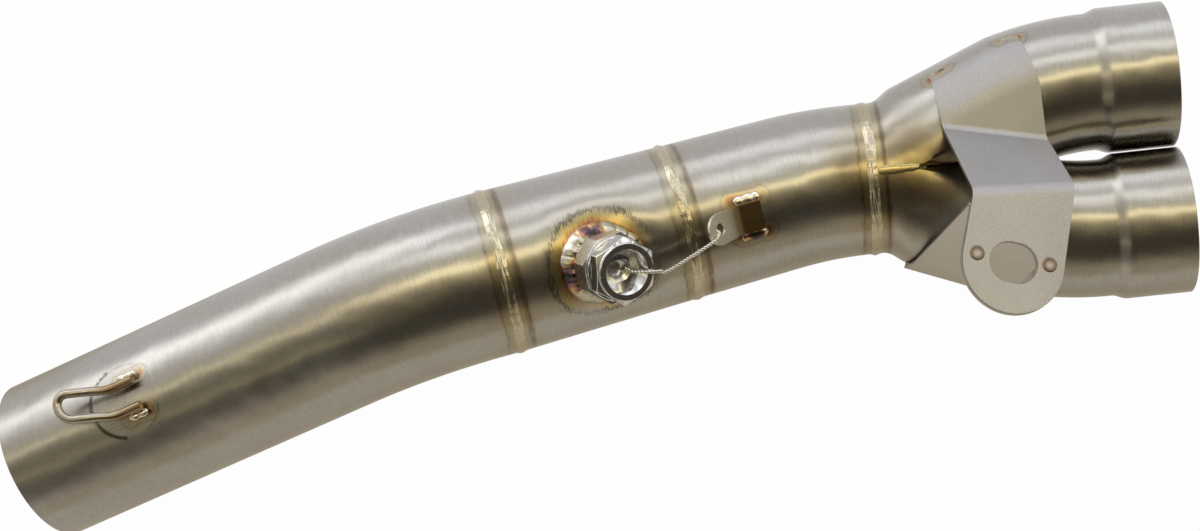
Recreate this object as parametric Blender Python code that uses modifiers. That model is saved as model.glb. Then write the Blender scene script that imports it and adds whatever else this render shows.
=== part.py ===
"""Link pipe of a motorbike exhaust, in metres.

Two sockets slip over the engine side's pipes. Behind them two tubes merge into one, which runs
on through a sensor section and a bend to the plain outlet. A spring hook, an oxygen sensor boss
with its locked plug and a folded hanger bracket are welded on.

The pieces are modelled in the collector's frame: the collector's axis is X, its mouth is at the
origin and the sockets open towards +X. An empty then lays the pipe down on its three rims.
"""

import math

import bmesh
import bpy
from mathutils import Matrix, Vector

# Fits
SEAT_GAP = 0.0003
THREAD_GAP = 0.0003

# Round tubes: outer diameters and walls
OUTLET_DIAMETER = 0.0650
NECK_DIAMETER = 0.0618
MOUTH_DIAMETER = 0.0596
BRANCH_DIAMETER = 0.0540
SOCKET_DIAMETER = 0.0574
OUTLET_WALL = 0.0015
TUBE_WALL = 0.0013

# Centre line, from the outlet rim to the collector's mouth
OUTLET_STRAIGHT = 0.1390
OUTLET_BEND_RADIUS = 0.1650
OUTLET_TAIL = 0.0072
SENSOR_TUBE_LENGTH = 0.0727
FRONT_STRAIGHT = 0.0425
FRONT_BEND_RADIUS = 0.1500
FRONT_TAIL = 0.0051
OUTLET_YAW = math.radians(16.9)
OUTLET_PITCH = math.radians(13.8)
MIDDLE_YAW = math.radians(9.9)
MIDDLE_PITCH = math.radians(-6.1)

# Collector branches
SOCKET_SPACING = 0.0580
BRANCH_START_OFFSET = 0.0008
BRANCH_ANGLE = math.radians(22.0)
BRANCH_BEND_RADIUS = 0.1050
MOUTH_LEAD = 0.0025
MOUTH_OPENING_RUN = 0.0090
FORMED_LENGTH = 0.0430
FLARE_LENGTH = 0.0060
SOCKET_LENGTH = 0.0250

# Weld beads
GIRTH_BEAD_WIDTH = 0.0034
GIRTH_BEAD_HEIGHT = 0.0008
MERGE_BEAD_RADIUS = 0.0012
MERGE_BEAD_START = 0.0045
MERGE_BEAD_LENGTH = 0.0150
SMALL_BEAD_RADIUS = 0.0014
BEAD_TAPER = 0.6

# Oxygen sensor boss and its plug
BUNG_RUN = 0.0382
BUNG_CLOCK = math.radians(-19.2)
BUNG_LEAN = math.radians(16.0)
BUNG_ACROSS_FLATS = 0.0260
BUNG_NECK_DIAMETER = 0.0246
BUNG_NECK_HEIGHT = 0.0044
BUNG_HEIGHT = 0.0100
BUNG_WELD_RADIUS = 0.0018
THREAD_DIAMETER = 0.0180
WASHER_DIAMETER = 0.0238
WASHER_THICKNESS = 0.0014
PLUG_ACROSS_FLATS = 0.0222
PLUG_HEX_HEIGHT = 0.0072
PLUG_TURN = math.radians(-13.0)
PLUG_RIM_DIAMETER = 0.0212
PLUG_RIM_HEIGHT = 0.0010
PLUG_CHAMFER = math.radians(30.0)
PLUG_RECESS_DIAMETER = 0.0158
PLUG_RECESS_DEPTH = 0.0070
PLUG_CONE_DEPTH = 0.0034
PLUG_SHANK_LENGTH = 0.0110
PLUG_SHANK_OVERLAP = 0.0004

# Lock wire and its tab
TAB_RUN = 0.0199
TAB_CLOCK = math.radians(-14.5)
TAB_LENGTH = 0.0092
TAB_WIDTH = 0.0112
TAB_THICKNESS = 0.0012
EAR_LENGTH = 0.0160
EAR_TIP_RADIUS = 0.0062
EAR_ANGLE = math.radians(38.0)
EAR_HOLE_DIAMETER = 0.0040
TAB_BEAD_LENGTH = 0.0087
WIRE_DIAMETER = 0.0016
WIRE_CLOCK = math.radians(-15.0)

# The wire's route: in the ear's frame with Z through its hole, then from the plug's rim with X outwards
WIRE_AT_EAR = (
    Vector((0.0, 0.0, -0.0022)),
    Vector((0.0, 0.0, 0.0012)),
    Vector((-0.0012, 0.0, 0.0034)),
    Vector((-0.0080, -0.0026, 0.0032)),
)
WIRE_AT_PLUG = (
    Vector((0.0181, 0.0, -0.0015)),
    Vector((0.0134, 0.0, 0.0006)),
    Vector((0.0095, 0.0, 0.0015)),
    Vector((0.0059, 0.0, 0.0002)),
    Vector((0.0029, 0.0, -0.0022)),
    Vector((0.0003, 0.0012, -0.0030)),
)

# Spring hook
HOOK_RUN = 0.0575
HOOK_CLOCK = math.radians(9.9)
HOOK_PAD_DIAMETER = 0.0304
HOOK_PAD_THICKNESS = 0.0012
HOOK_WIRE_DIAMETER = 0.0036
HOOK_LEG_SPACING = 0.0108
HOOK_FOOT = 0.0075
HOOK_REACH = 0.0242
HOOK_LIFT = 0.0046
HOOK_YAW = math.radians(15.0)
HOOK_TURN_START = 0.0015
HOOK_TURN_RUN = 0.0120
HOOK_BEAD_LENGTH = 0.0075
HOOK_BEAD_LIFT = 0.0002

# Bracket: an upper strap over the upper branch, and a lower strap behind its flange
SHEET = 0.0015
FOLD_RADIUS = 0.0024
STRAP_WRAP = math.radians(50.0)
WRAP_SEAT = 0.0005
STRAP_FOLD = (Vector((0.0282, 0.0139)), Vector((0.0676, 0.0050)))
STRAP_END = (0.0270, 0.0624)
FLANGE_FOLD = (Vector((0.0339, -0.0142)), Vector((0.0728, -0.0158)))
FLANGE_STAND_OFF = 0.0292
FLANGE_RISE = math.radians(10.0)
FLANGE_END_RADIUS = 0.0195
SLOT_PLACE = Vector((0.0118, 0.0281))
SLOT_LENGTH = 0.0185
SLOT_WIDTH = 0.0158
SLOT_TURN = math.radians(15.0)
LEG_FOLD_START = 0.0030
LEG_SEAT = 0.0008
LEG_SLANT = math.radians(12.0)
LEG_WRAP = math.radians(30.0)
BRACKET_BEAD_LENGTH = 0.0070

# Laying down
MAX_TILT = math.radians(12.0)
TILT_STEPS = 40

# Facets
TUBE_SIDES = 40
FLAT_STEPS = 9
FORMING_STEPS = 8
BEND_STEPS = 6
ROUTE_STEPS = 3
RING_SIDES = 24
HOLE_SIDES = 16
BEAD_SIDES = 6
BEAD_STEPS = 3
SEAM_STEPS = 5
SECTION_SHARES = (0.0, 0.25, 0.5, 0.75, 1.0)
SETTLE_STEPS = 8
FOLD_SEGMENTS = 3
EAR_STEPS = 8
PAD_RINGS = 3
HOOK_LEG_SHARES = (0.0, 0.12, 0.24, 0.36, 0.52, 0.76, 1.0)
HOOK_BOW_STEPS = 8
HOOK_SIDES = 10
STRAP_COLUMNS = 4
STRAP_WRAP_STEPS = 5
LEG_WRAP_STEPS = 4
FLANGE_END_STEPS = 14

OBJECT_NAME = "exhaust_header_pipe"

COLOURS = {
    "steel": ((0.52, 0.50, 0.46, 1.0), 0.30),
    "weld": ((0.62, 0.58, 0.48, 1.0), 0.35),
    "sheet": ((0.60, 0.59, 0.56, 1.0), 0.45),
    "turned": ((0.62, 0.61, 0.59, 1.0), 0.20),
    "wire": ((0.70, 0.69, 0.66, 1.0), 0.25),
}


def clear_scene():
    """Removes whatever the file holds."""
    for item in list(bpy.data.objects):
        bpy.data.objects.remove(item, do_unlink=True)
    for group in list(bpy.data.collections):
        bpy.data.collections.remove(group)


def new_collection(name):
    """Makes a collection in the scene."""
    group = bpy.data.collections.new(name)
    bpy.context.scene.collection.children.link(group)
    return group


def new_material(name, finish):
    """Makes a piece's own metal material."""
    colour, roughness = COLOURS[finish]
    material = bpy.data.materials.new(name)
    material.use_nodes = True
    shader = material.node_tree.nodes["Principled BSDF"]
    shader.inputs["Base Color"].default_value = colour
    shader.inputs["Roughness"].default_value = roughness
    shader.inputs["Metallic"].default_value = 1.0
    return material


def mesh_object(name, bm):
    """Puts a bmesh into a new object."""
    mesh = bpy.data.meshes.new(name)
    bm.to_mesh(mesh)
    bm.free()
    return bpy.data.objects.new(name, mesh)


def finish(item, group, finish_name, parent, sharp=30.0):
    """Links a piece, gives it its material and shades it smooth."""
    group.objects.link(item)
    item.data.materials.clear()
    item.data.materials.append(new_material(item.name + "_metal", finish_name))
    item.data.shade_smooth()
    item.data.set_sharp_from_angle(angle=math.radians(sharp))
    item.parent = parent
    return item


def add_solidify(item, thickness, offset):
    """Gives an open surface its sheet or wall thickness."""
    shell = item.modifiers.new("wall", "SOLIDIFY")
    shell.thickness = thickness
    shell.offset = offset
    shell.use_even_offset = True
    return shell


def add_cut(item, cutter):
    """Cuts a piece with a cutter object."""
    cut = item.modifiers.new("cut_" + cutter.name, "BOOLEAN")
    cut.operation = "DIFFERENCE"
    cut.object = cutter
    cut.solver = "EXACT"
    return cut


def add_join(item, other):
    """Joins a hidden solid to a piece."""
    join = item.modifiers.new("join_" + other.name, "BOOLEAN")
    join.operation = "UNION"
    join.object = other
    join.solver = "EXACT"
    return join


def hide_cutter(item, group, parent):
    """Links a cutter and keeps it out of view."""
    group.objects.link(item)
    item.hide_render = True
    item.display_type = "WIRE"
    item.parent = parent
    return item


def swept(name, points, radii, sides, cyclic=False):
    """Sweeps a circle along points as a bevelled curve, and returns it as a mesh object."""
    curve = bpy.data.curves.new(name, "CURVE")
    curve.dimensions = "3D"
    curve.bevel_depth = max(radii)
    curve.bevel_resolution = (sides - 4) // 2
    curve.use_fill_caps = False
    spline = curve.splines.new("POLY")
    spline.points.add(len(points) - 1)
    for place, centre, radius in zip(spline.points, points, radii):
        place.co = (centre.x, centre.y, centre.z, 1.0)
        place.radius = radius / max(radii)
    spline.use_cyclic_u = cyclic
    guide = bpy.data.objects.new(name + "_guide", curve)
    bpy.context.scene.collection.objects.link(guide)
    bpy.context.view_layer.update()
    graph = bpy.context.evaluated_depsgraph_get()
    mesh = bpy.data.meshes.new_from_object(guide.evaluated_get(graph))
    bpy.data.objects.remove(guide, do_unlink=True)
    mesh.name = name
    return bpy.data.objects.new(name, mesh)


def close_ends(item):
    """Fills the open ends of a swept rod."""
    bm = bmesh.new()
    bm.from_mesh(item.data)
    bmesh.ops.remove_doubles(bm, verts=bm.verts, dist=0.000001)
    bmesh.ops.holes_fill(bm, edges=[edge for edge in bm.edges if edge.is_boundary], sides=0)
    bmesh.ops.recalc_face_normals(bm, faces=bm.faces)
    bm.to_mesh(item.data)
    bm.free()
    return item


def rod(name, points, radius, sides=8, taper=1.0):
    """Makes a solid round rod, with its ends drawn in by the taper."""
    radii = [radius] * len(points)
    radii[0] = radius * taper
    radii[-1] = radius * taper
    return close_ends(swept(name, points, radii, sides))


def small_bead(name, points, parts, parent, radius=SMALL_BEAD_RADIUS):
    """Makes a short weld bead along points, with its ends drawn in."""
    return finish(rod(name, points, radius, taper=BEAD_TAPER), parts, "weld", parent, sharp=60.0)


def turned(name, profile, sides, closed=True):
    """Turns a profile of (radius, height) points about Z with a Screw modifier."""
    bm = bmesh.new()
    verts = [bm.verts.new((radius, 0.0, height)) for radius, height in profile]
    for first, second in zip(verts, verts[1:]):
        bm.edges.new((first, second))
    if closed:
        bm.edges.new((verts[-1], verts[0]))
    item = mesh_object(name, bm)
    screw = item.modifiers.new("turn", "SCREW")
    screw.axis = "Z"
    screw.angle = math.tau
    screw.steps = sides
    screw.render_steps = sides
    screw.use_merge_vertices = True
    screw.merge_threshold = 0.000001
    return item


def prism(name, sides, across_flats, low, high, turn=0.0):
    """Makes a regular prism about Z, from low to high."""
    bm = bmesh.new()
    corner = across_flats / 2 / math.cos(math.pi / sides)
    lift = Matrix.Translation((0.0, 0.0, (low + high) / 2)) @ Matrix.Rotation(turn, 4, "Z")
    bmesh.ops.create_cone(
        bm, cap_ends=True, segments=sides, radius1=corner, radius2=corner, depth=high - low, matrix=lift
    )
    return mesh_object(name, bm)


def heading(yaw, pitch):
    """Unit vector for a yaw about Z and a pitch above the XY plane."""
    flat = math.cos(pitch)
    return Vector((math.cos(yaw) * flat, math.sin(yaw) * flat, math.sin(pitch)))


def bend(start, travel, next_travel, radius, steps):
    """Points along an arc that turns from one travel direction to the next, without its start."""
    axis = travel.cross(next_travel).normalized()
    sideways = axis.cross(travel)
    total = travel.angle(next_travel)
    points = []
    for step in range(1, steps + 1):
        angle = total * step / steps
        points.append(start + radius * (math.sin(angle) * travel + (1 - math.cos(angle)) * sideways))
    return points


class CentreLine:
    """The pipe's centre line behind the collector, found from the mouth backwards."""

    def __init__(self):
        forward = Vector((1.0, 0.0, 0.0))
        self.middle = heading(MIDDLE_YAW, MIDDLE_PITCH)
        self.outlet = heading(OUTLET_YAW, OUTLET_PITCH)
        self.mouth = Vector((0.0, 0.0, 0.0))
        front = [self.mouth, self.mouth - forward * FRONT_TAIL]
        front += bend(front[-1], -forward, -self.middle, FRONT_BEND_RADIUS, BEND_STEPS - 2)
        self.neck = front[-1] - self.middle * FRONT_STRAIGHT
        self.joint = self.neck - self.middle * SENSOR_TUBE_LENGTH
        rear = [self.joint, self.joint - self.middle * OUTLET_TAIL]
        rear += bend(rear[-1], -self.middle, -self.outlet, OUTLET_BEND_RADIUS, BEND_STEPS)
        self.rim = rear[-1] - self.outlet * OUTLET_STRAIGHT
        self.front_points = front + [self.neck]
        self.outlet_points = rear + [self.rim]


def trimmed(points, first, last):
    """Copies points with its two ends drawn in, so that neighbours keep their gap."""
    ends = list(points)
    ends[0] = points[0] + (points[1] - points[0]).normalized() * first
    ends[-1] = points[-1] + (points[-2] - points[-1]).normalized() * last
    return ends


def cone_radii(points, first, last):
    """Radii that run evenly from first to last along the points."""
    runs = [0.0]
    for here, there in zip(points, points[1:]):
        runs.append(runs[-1] + (there - here).length)
    return [first + (last - first) * run / runs[-1] for run in runs]


def neck_radius_at(run):
    """Outer radius of the sensor tube, at a run from its outlet end."""
    share = run / SENSOR_TUBE_LENGTH
    return (OUTLET_DIAMETER + (NECK_DIAMETER - OUTLET_DIAMETER) * share) / 2


def front_radius_at(run):
    """Outer radius of the front tube, at a run from the neck."""
    arc = FRONT_BEND_RADIUS * heading(MIDDLE_YAW, MIDDLE_PITCH).angle(Vector((1.0, 0.0, 0.0)))
    share = run / (FRONT_STRAIGHT + arc + FRONT_TAIL)
    return (NECK_DIAMETER + (MOUTH_DIAMETER - NECK_DIAMETER) * share) / 2


def clock_frame(origin, axis, clock, radius):
    """Frame on a tube's surface: X along the tube, Z outwards at the clock angle from the top."""
    top = (Vector((0.0, 0.0, 1.0)) - axis * axis.z).normalized()
    side = top.cross(axis)
    outward = top * math.cos(clock) + side * math.sin(clock)
    across = outward.cross(axis)
    frame = Matrix((axis, across, outward)).transposed().to_4x4()
    frame.translation = origin + outward * radius
    return frame


def make_tubes(line, parts, parent):
    """Makes the three round tubes behind the collector, and returns the sensor tube."""
    half_gap = SEAT_GAP / 2
    points = trimmed(line.outlet_points, half_gap, 0.0)
    outlet = swept("outlet_tube", points, [OUTLET_DIAMETER / 2] * len(points), TUBE_SIDES)
    add_solidify(outlet, OUTLET_WALL, -1.0)
    finish(outlet, parts, "steel", parent)

    points = trimmed([line.joint, line.neck], half_gap, half_gap)
    radii = [OUTLET_DIAMETER / 2, NECK_DIAMETER / 2]
    sensor = swept("sensor_tube", points, radii, TUBE_SIDES)
    add_solidify(sensor, TUBE_WALL, -1.0)
    finish(sensor, parts, "steel", parent)

    points = trimmed(line.front_points, half_gap, half_gap)
    front = swept("front_tube", points, cone_radii(points, MOUTH_DIAMETER / 2, NECK_DIAMETER / 2), TUBE_SIDES)
    add_solidify(front, TUBE_WALL, -1.0)
    finish(front, parts, "steel", parent)
    return sensor


def straight_run():
    """Distance from the mouth at which the branches start to bend back."""
    rise = SOCKET_SPACING / 2 - BRANCH_START_OFFSET - BRANCH_BEND_RADIUS * (1 - math.cos(BRANCH_ANGLE))
    return rise / math.tan(BRANCH_ANGLE)


def parallel_run():
    """Distance from the mouth at which the branches run side by side."""
    return straight_run() + BRANCH_BEND_RADIUS * math.sin(BRANCH_ANGLE)


def branch_axis(x):
    """Sideways offset and slope angle of a branch's axis, at a distance from the mouth."""
    if x <= straight_run():
        return BRANCH_START_OFFSET + x * math.tan(BRANCH_ANGLE), BRANCH_ANGLE
    if x >= parallel_run():
        return SOCKET_SPACING / 2, 0.0
    slope = math.asin((parallel_run() - x) / BRANCH_BEND_RADIUS)
    return SOCKET_SPACING / 2 - BRANCH_BEND_RADIUS * (1 - math.cos(slope)), slope


def socket_end():
    """Distance from the mouth to the sockets' rims."""
    return parallel_run() + FLARE_LENGTH + SOCKET_LENGTH


def ease(share):
    """Smooth step from 0 to 1."""
    share = min(max(share, 0.0), 1.0)
    return share * share * (3 - 2 * share)


def branch_section(x, radius, inset):
    """Ring of (y, z) points of a branch's section at x, drawn in by inset.

    The mouth is half a disc, with its flat on the seam. Along the formed length the flat bulges
    out until the tube is round, and stays pressed on the seam where the two tubes meet.
    """
    offset, slope = branch_axis(x)
    rounding = ease((x - MOUTH_LEAD) / FORMED_LENGTH)
    opening = ease((x - MOUTH_LEAD) / MOUTH_OPENING_RUN)
    mouth = MOUTH_DIAMETER / 2
    width = (radius - inset) / math.cos(slope)
    reach = mouth - inset + (offset + width - mouth + inset) * opening
    height = mouth + (radius - mouth) * rounding - inset
    flat = SEAT_GAP / 2 + inset
    corner = math.acos(flat / reach)
    half = TUBE_SIDES // 2
    ring = []
    for step in range(-half, half):
        count = abs(step)
        sign = 1.0 if step >= 0 else -1.0
        if count <= FLAT_STEPS:
            formed = Vector((flat, sign * height * math.sin(corner) * count / FLAT_STEPS))
        else:
            turn = corner * (half - count) / (half - FLAT_STEPS)
            formed = Vector((reach * math.cos(turn), sign * height * math.sin(turn)))
        angle = math.pi * count / half
        plain = Vector((offset - width * math.cos(angle), sign * (radius - inset) * math.sin(angle)))
        place = formed.lerp(plain, rounding)
        ring.append((max(place.x, flat), place.y))
    return ring


def branch_stations():
    """Distances from the mouth and outer radii at which a branch's rings stand."""
    tube = BRANCH_DIAMETER / 2
    socket = SOCKET_DIAMETER / 2
    run = parallel_run()
    stations = [(SEAT_GAP / 2, tube), (MOUTH_LEAD, tube)]
    for step in range(1, FORMING_STEPS + 1):
        stations.append((MOUTH_LEAD + (run - MOUTH_LEAD) * step / FORMING_STEPS, tube))
    stations += [(run + FLARE_LENGTH, socket), (socket_end(), socket)]
    return stations


def make_branch(name, side, parts, parent):
    """Lofts one branch, from its D-shaped mouth to its round socket."""
    bm = bmesh.new()
    skins = []
    for inset in (0.0, TUBE_WALL):
        rings = []
        for x, radius in branch_stations():
            ring = [bm.verts.new((x, side * y, z)) for y, z in branch_section(x, radius, inset)]
            rings.append(ring)
        for ring, after in zip(rings, rings[1:]):
            join_rings(bm, ring, after)
        skins.append(rings)
    join_rings(bm, skins[0][0], skins[1][0])
    join_rings(bm, skins[0][-1], skins[1][-1])
    bmesh.ops.recalc_face_normals(bm, faces=bm.faces)
    return finish(mesh_object(name, bm), parts, "steel", parent)


def join_rings(bm, first, second):
    """Joins two rings of vertices with quads."""
    count = len(first)
    for here in range(count):
        there = (here + 1) % count
        bm.faces.new((first[here], first[there], second[there], second[here]))


def branch_point(x, side, angle, lift):
    """Point on a branch where it is round, at an angle from its crown towards its outer side."""
    offset, slope = branch_axis(x)
    radius = BRANCH_DIAMETER / 2 + lift
    y = offset + radius / math.cos(slope) * math.sin(angle)
    return Vector((x, side * y, radius * math.cos(angle)))


def girth_weld(name, centre, axis, radius, parts, parent):
    """Makes a weld bead round a butt joint between two tubes."""
    inner = radius + SEAT_GAP
    half = GIRTH_BEAD_WIDTH / 2
    crown = inner + GIRTH_BEAD_HEIGHT
    profile = [(inner, half), (crown, half * 0.5), (crown, -half * 0.5), (inner, -half)]
    bead = turned(name, profile, TUBE_SIDES)
    bead.matrix_local = axis.to_track_quat("Z", "Y").to_matrix().to_4x4()
    bead.location = centre
    return finish(bead, parts, "weld", parent, sharp=60.0)


def seat_height(section, radius):
    """Height at which a bead of this radius lies in the valley at y = 0 between the branches."""
    reach = radius + SEAT_GAP
    best = -1.0
    for here, there in zip(section, section[1:] + section[:1]):
        for share in SECTION_SHARES:
            y = here[0] + (there[0] - here[0]) * share
            z = here[1] + (there[1] - here[1]) * share
            if abs(y) < reach:
                best = max(best, z + math.sqrt(reach * reach - y * y))
    return best


def merge_weld(name, sign, parts, parent):
    """Makes the bead along the seam between the branches, on top or underneath."""
    points = []
    for step in range(SEAM_STEPS + 1):
        x = MERGE_BEAD_START + MERGE_BEAD_LENGTH * step / SEAM_STEPS
        section = branch_section(x, BRANCH_DIAMETER / 2, 0.0)
        points.append(Vector((x, 0.0, sign * seat_height(section, MERGE_BEAD_RADIUS))))
    return small_bead(name, points, parts, parent, MERGE_BEAD_RADIUS)


def bung_frame(line):
    """Frame at the foot of the sensor boss, with Z along its leaning axis."""
    foot = line.joint + line.middle * BUNG_RUN
    frame = clock_frame(foot, line.middle, BUNG_CLOCK, neck_radius_at(BUNG_RUN))
    return frame @ Matrix.Rotation(BUNG_LEAN, 4, "Y")


def make_bung(line, sensor, parts, cutters, parent):
    """Makes the sensor boss, its weld, its washer and its plug."""
    frame = bung_frame(line)
    deep = BUNG_NECK_HEIGHT * 3

    bore = prism("bung_bore_cutter", RING_SIDES, THREAD_DIAMETER, -deep, BUNG_HEIGHT * 2)
    bore.matrix_local = frame
    hide_cutter(bore, cutters, parent)
    add_cut(sensor, bore)

    bung = prism("sensor_bung", 8, BUNG_ACROSS_FLATS, -deep, BUNG_HEIGHT, turn=math.pi / 8)
    bung.matrix_local = frame
    add_cut(bung, tube_cutter("bung_shelf_cutter", line, BUNG_NECK_HEIGHT, cutters, parent))
    neck = prism("bung_neck", RING_SIDES, BUNG_NECK_DIAMETER, -deep, (BUNG_NECK_HEIGHT + BUNG_HEIGHT) / 2)
    neck.matrix_local = frame
    add_join(bung, hide_cutter(neck, cutters, parent))
    add_cut(bung, tube_cutter("bung_seat_cutter", line, SEAT_GAP, cutters, parent))
    add_cut(bung, bore)
    finish(bung, parts, "turned", parent)

    bead_centre = BUNG_NECK_DIAMETER / 2 + SEAT_GAP + BUNG_WELD_RADIUS
    points = []
    for step in range(RING_SIDES):
        angle = math.tau * step / RING_SIDES
        spot = Vector((bead_centre * math.cos(angle), bead_centre * math.sin(angle), 0.0))
        for _ in range(SETTLE_STEPS):
            spot.z += SEAT_GAP + BUNG_WELD_RADIUS - height_over(line, frame @ spot)
        points.append(frame @ spot)
    weld = swept("weld_bung", points, [BUNG_WELD_RADIUS] * RING_SIDES, BEAD_SIDES, cyclic=True)
    finish(weld, parts, "weld", parent, sharp=60.0)

    washer_low = BUNG_HEIGHT + SEAT_GAP
    washer_high = washer_low + WASHER_THICKNESS
    inner = THREAD_DIAMETER / 2 + THREAD_GAP
    outer = WASHER_DIAMETER / 2
    washer = turned(
        "plug_washer",
        [(outer, washer_high), (outer, washer_low), (inner, washer_low), (inner, washer_high)],
        RING_SIDES,
    )
    washer.matrix_local = frame
    finish(washer, parts, "turned", parent)
    make_plug(frame, washer_high + SEAT_GAP, parts, cutters, parent)


def height_over(line, spot):
    """Height of a point over the sensor tube's surface."""
    run = (spot - line.joint).dot(line.middle)
    return (spot - line.joint - line.middle * run).length - neck_radius_at(run)


def tube_cutter(name, line, lift, cutters, parent):
    """Makes a cutter with the sensor tube's outer form, lifted from it."""
    points = [line.joint - line.middle * OUTLET_TAIL, line.neck + line.middle * OUTLET_TAIL]
    radii = [neck_radius_at(-OUTLET_TAIL) + lift, neck_radius_at(SENSOR_TUBE_LENGTH + OUTLET_TAIL) + lift]
    return hide_cutter(close_ends(swept(name, points, radii, TUBE_SIDES)), cutters, parent)


def make_plug(frame, low, parts, cutters, parent):
    """Makes the hexagon plug with its rim, drilled recess and shank."""
    shank = THREAD_DIAMETER / 2 - THREAD_GAP
    high = low + PLUG_HEX_HEIGHT + PLUG_RIM_HEIGHT
    hexagon = prism("sensor_plug", 6, PLUG_ACROSS_FLATS, low, high, turn=PLUG_TURN)
    hexagon.matrix_local = frame

    rim = PLUG_RIM_DIAMETER / 2
    far = PLUG_ACROSS_FLATS
    shoulder = high - PLUG_RIM_HEIGHT
    drop = (far - rim) * math.tan(PLUG_CHAMFER)
    chamfer = turned(
        "plug_chamfer_cutter",
        [(far, high * 2), (far, shoulder - drop), (rim, shoulder), (rim, high * 2)],
        RING_SIDES,
    )
    chamfer.matrix_local = frame
    hide_cutter(chamfer, cutters, parent)
    add_cut(hexagon, chamfer)

    recess = PLUG_RECESS_DIAMETER / 2
    floor = high - PLUG_RECESS_DEPTH
    drill = turned(
        "plug_recess_cutter",
        [(0.0, high * 2), (recess, high * 2), (recess, floor), (0.0, floor - PLUG_CONE_DEPTH)],
        RING_SIDES,
        closed=False,
    )
    drill.matrix_local = frame
    hide_cutter(drill, cutters, parent)
    add_cut(hexagon, drill)

    stem = prism("plug_stem", RING_SIDES, shank * 2, low - PLUG_SHANK_LENGTH, low + PLUG_SHANK_OVERLAP)
    stem.matrix_local = frame
    add_join(hexagon, hide_cutter(stem, cutters, parent))
    finish(hexagon, parts, "turned", parent)


def sheet_object(name, bm, folds, fold_radius, thickness, offset):
    """Rounds the folds of an open sheet and gives it its thickness."""
    bmesh.ops.bevel(bm, geom=folds, offset=fold_radius, segments=FOLD_SEGMENTS, profile=0.5, affect="EDGES")
    item = mesh_object(name, bm)
    add_solidify(item, thickness, offset)
    return item


def make_tab(line, parts, cutters, parent):
    """Makes the lock-wire tab with its raised ear and its beads, and returns the frame of its hole."""
    centre = line.neck + line.middle * (TAB_RUN + TAB_LENGTH / 2)
    radius = front_radius_at(TAB_RUN + TAB_LENGTH / 2)
    frame = clock_frame(centre, line.middle, TAB_CLOCK, radius + SEAT_GAP)
    half_length = TAB_LENGTH / 2
    half_width = TAB_WIDTH / 2
    hole_run = EAR_LENGTH - EAR_TIP_RADIUS
    bm = bmesh.new()
    base = [bm.verts.new((half_length, side * half_width, 0.0)) for side in (-1.0, 1.0)]
    fold = [bm.verts.new((-half_length, side * half_width, 0.0)) for side in (1.0, -1.0)]
    bm.faces.new(base + fold)
    ear = []
    for step in range(EAR_STEPS + 1):
        angle = math.pi * step / EAR_STEPS
        along = hole_run + EAR_TIP_RADIUS * math.sin(angle)
        ear.append(bm.verts.new(ear_point(along, EAR_TIP_RADIUS * math.cos(angle))))
    bm.faces.new(fold[::-1] + ear)
    upward(bm)
    tab = sheet_object("lock_wire_tab", bm, edges_between(fold), TAB_THICKNESS, TAB_THICKNESS, 1.0)
    tab.matrix_local = frame

    hole = prism("ear_hole_cutter", HOLE_SIDES, EAR_HOLE_DIAMETER, -TAB_THICKNESS * 4, TAB_THICKNESS * 4)
    ear_tilt = Matrix.Rotation(EAR_ANGLE, 4, "Y")
    hole.matrix_local = frame @ Matrix.Translation(ear_point(hole_run, 0.0)) @ ear_tilt
    hide_cutter(hole, cutters, parent)
    add_cut(tab, hole)
    finish(tab, parts, "sheet", parent)

    for name, side in (("tab_weld_upper", 1.0), ("tab_weld_lower", -1.0)):
        across = half_width + SEAT_GAP + SMALL_BEAD_RADIUS
        angle = TAB_CLOCK + side * across / radius
        points = []
        for step in range(BEAD_STEPS + 1):
            on_axis = centre + line.middle * TAB_BEAD_LENGTH * (step / BEAD_STEPS - 0.5)
            spot = clock_frame(on_axis, line.middle, angle, radius + SEAT_GAP + SMALL_BEAD_RADIUS)
            points.append(spot.translation)
        small_bead(name, points, parts, parent)
    return hole.matrix_local.copy()


def ear_point(along, across):
    """Point of the raised ear in the tab's frame, at a run from the fold."""
    return Vector((-TAB_LENGTH / 2 - along * math.cos(EAR_ANGLE), across, along * math.sin(EAR_ANGLE)))


def make_lock_wire(line, ear_frame, parts, parent):
    """Makes the lock wire, from the tab's hole over the plug's rim into its recess."""
    rim_top = BUNG_HEIGHT + WASHER_THICKNESS + 2 * SEAT_GAP + PLUG_HEX_HEIGHT + PLUG_RIM_HEIGHT
    turn = Matrix.Rotation(WIRE_CLOCK, 4, "Z")
    rim_frame = bung_frame(line) @ Matrix.Translation((0.0, 0.0, rim_top)) @ turn
    route = [ear_frame @ place for place in WIRE_AT_EAR]
    route += [rim_frame @ place for place in WIRE_AT_PLUG]
    points = smooth_route(route, ROUTE_STEPS)
    finish(rod("lock_wire", points, WIRE_DIAMETER / 2), parts, "wire", parent, sharp=60.0)


def smooth_route(route, steps):
    """Reads points from a smooth curve through the route's own points."""
    points = []
    padded = [route[0] * 2 - route[1]] + route + [route[-1] * 2 - route[-2]]
    for index in range(1, len(padded) - 2):
        before, here, there, after = padded[index - 1 : index + 3]
        first = there - before
        second = 2 * before - 5 * here + 4 * there - after
        third = 3 * here - before - 3 * there + after
        for step in range(steps):
            t = step / steps
            points.append(here + (first * t + second * t**2 + third * t**3) / 2)
    return points + [route[-1]]


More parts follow.
